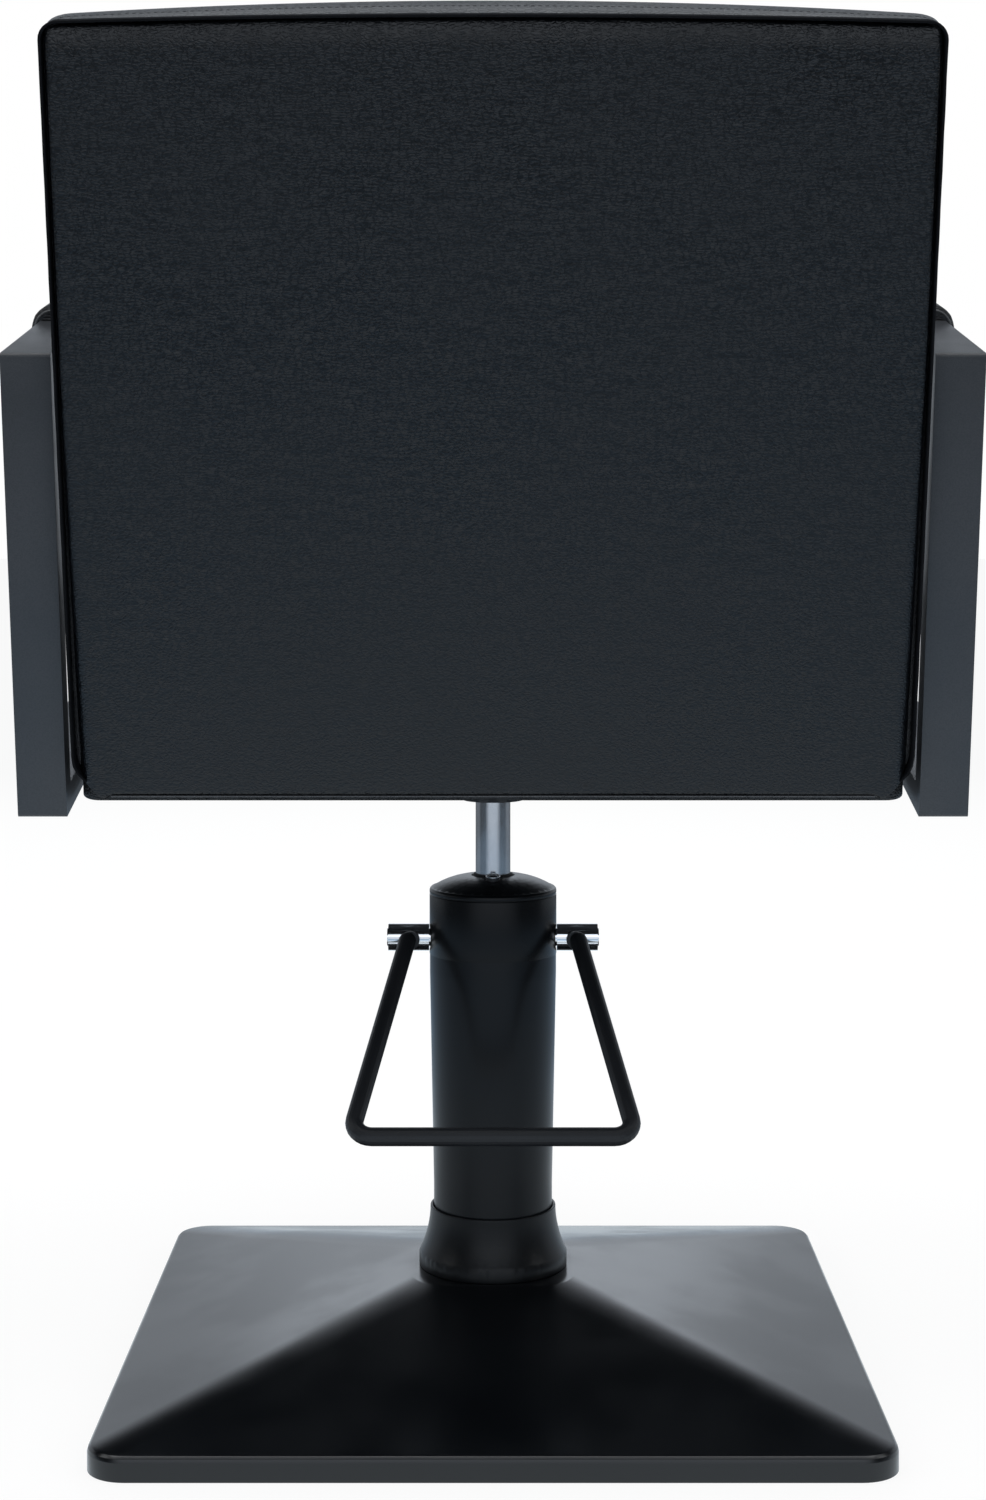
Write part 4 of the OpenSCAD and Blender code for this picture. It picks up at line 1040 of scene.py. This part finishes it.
def studio_world():
    world = bpy.data.worlds.new("studio")
    scene.world = world
    world.use_nodes = True
    world.cycles.sampling_method = "NONE"
    tree = world.node_tree
    tree.nodes.clear()
    out = add(tree, "ShaderNodeOutputWorld")
    path = add(tree, "ShaderNodeLightPath")
    place = add(tree, "ShaderNodeTexCoord")
    around = place_group(tree, surroundings)
    link(tree, place, "Generated", around, "Direction")
    gloss = add(tree, "ShaderNodeBackground", Color=(*STUDIO_TINT, 1))
    link(tree, around, "Level", gloss, "Strength")
    soft = add(tree, "ShaderNodeBackground", Color=(0.94, 0.97, 1.0, 1), Strength=0.45)
    white = add(tree, "ShaderNodeBackground", Color=(1, 1, 1, 1), Strength=1.0)
    shiny = add(tree, "ShaderNodeMixShader")
    see_gloss = maths(tree, "MAXIMUM", path.outputs["Is Glossy Ray"], path.outputs["Is Transmission Ray"])
    tree.links.new(see_gloss, shiny.inputs["Fac"])
    link(tree, soft, 0, shiny, 1)
    link(tree, gloss, 0, shiny, 2)
    seen = add(tree, "ShaderNodeMixShader")
    link(tree, path, "Is Camera Ray", seen, "Fac")
    link(tree, shiny, 0, seen, 1)
    link(tree, white, 0, seen, 2)
    link(tree, seen, 0, out, "Surface")


def studio_floor():
    """White floor; shiny faces see it bright round the base and darker further off."""
    bpy.ops.object.select_all(action="DESELECT")
    bpy.ops.mesh.primitive_circle_add(vertices=96, radius=30, fill_type="NGON", location=(0, 0, -0.0002))
    floor = named("floor")
    settle(floor)
    made, tree, shader = material("white_floor", roughness=0.9, specular=0.0, colour=(0.86, 0.86, 0.86))
    made.cycles.emission_sampling = "NONE"
    path = add(tree, "ShaderNodeLightPath")
    place = add(tree, "ShaderNodeTexCoord")
    reach = add(tree, "ShaderNodeVectorMath", operation="LENGTH")
    link(tree, place, "Object", reach, 0)
    distance = reach.outputs["Value"]
    view = add(tree, "ShaderNodeNewGeometry")
    away = add(tree, "ShaderNodeVectorMath", operation="SCALE", Scale=-1.0)
    link(tree, view, "Incoming", away, 0)
    around = place_group(tree, surroundings)
    link(tree, away, 0, around, "Direction")
    far = mixed(tree, around.outputs["Level"], (0, 0, 0), STUDIO_TINT)
    middle = add(tree, "ShaderNodeMix", data_type="RGBA")
    tree.links.new(ramp(tree, distance, 3.0, 1.1), middle.inputs["Factor"])
    tree.links.new(far, middle.inputs["A"])
    middle.inputs["B"].default_value = (0.42, 0.60, 0.80, 1)
    near = add(tree, "ShaderNodeMix", data_type="RGBA")
    tree.links.new(ramp(tree, distance, 1.25, 0.50), near.inputs["Factor"])
    link(tree, middle, "Result", near, "A")
    near.inputs["B"].default_value = (0.84, 0.93, 1.0, 1)
    mirrored = add(tree, "ShaderNodeEmission", Strength=1.0)
    link(tree, near, "Result", mirrored, "Color")
    glow = add(tree, "ShaderNodeEmission", Color=(1, 1, 1, 1), Strength=1.08)
    share = add(tree, "ShaderNodeMixShader")
    seen = maths(tree, "MULTIPLY", path.outputs["Is Camera Ray"], 0.80)
    tree.links.new(seen, share.inputs["Fac"])
    link(tree, shader, 0, share, 1)
    link(tree, glow, 0, share, 2)
    shiny = add(tree, "ShaderNodeMixShader")
    link(tree, path, "Is Glossy Ray", shiny, "Fac")
    link(tree, share, 0, shiny, 1)
    link(tree, mirrored, 0, shiny, 2)
    link(tree, shiny, 0, tree.nodes["Material Output"], "Surface")
    floor.data.materials.append(made)


def lamp(name, place, target, size, power, colour=(1, 1, 1), mirrored=True):
    data = bpy.data.lights.new(name, "AREA")
    data.shape = "RECTANGLE"
    data.size, data.size_y = size
    data.energy = power
    data.color = colour
    made = bpy.data.objects.new(name, data)
    made.location = place
    made.rotation_euler = (Vector(target) - Vector(place)).to_track_quat("-Z", "Y").to_euler()
    made.visible_glossy = mirrored
    scene.collection.objects.link(made)


studio_world()
studio_floor()
lamp("high_lamp", (0, 0.5, 2.9), (0, 0.3, 0.6), (4.0, 1.2), 35)
lamp("far_lamp", (0, -3.6, 2.1), (0, 0.2, 0.6), (2.6, 0.6), 28, mirrored=False)
lamp("left_lamp", (2.4, 0.5, 1.7), (0, 0.1, 0.5), (1.0, 1.6), 8, (0.95, 0.98, 1.0))
lamp("right_lamp", (-2.4, 0.5, 1.7), (0, 0.1, 0.5), (1.0, 1.6), 8, (0.95, 0.98, 1.0))
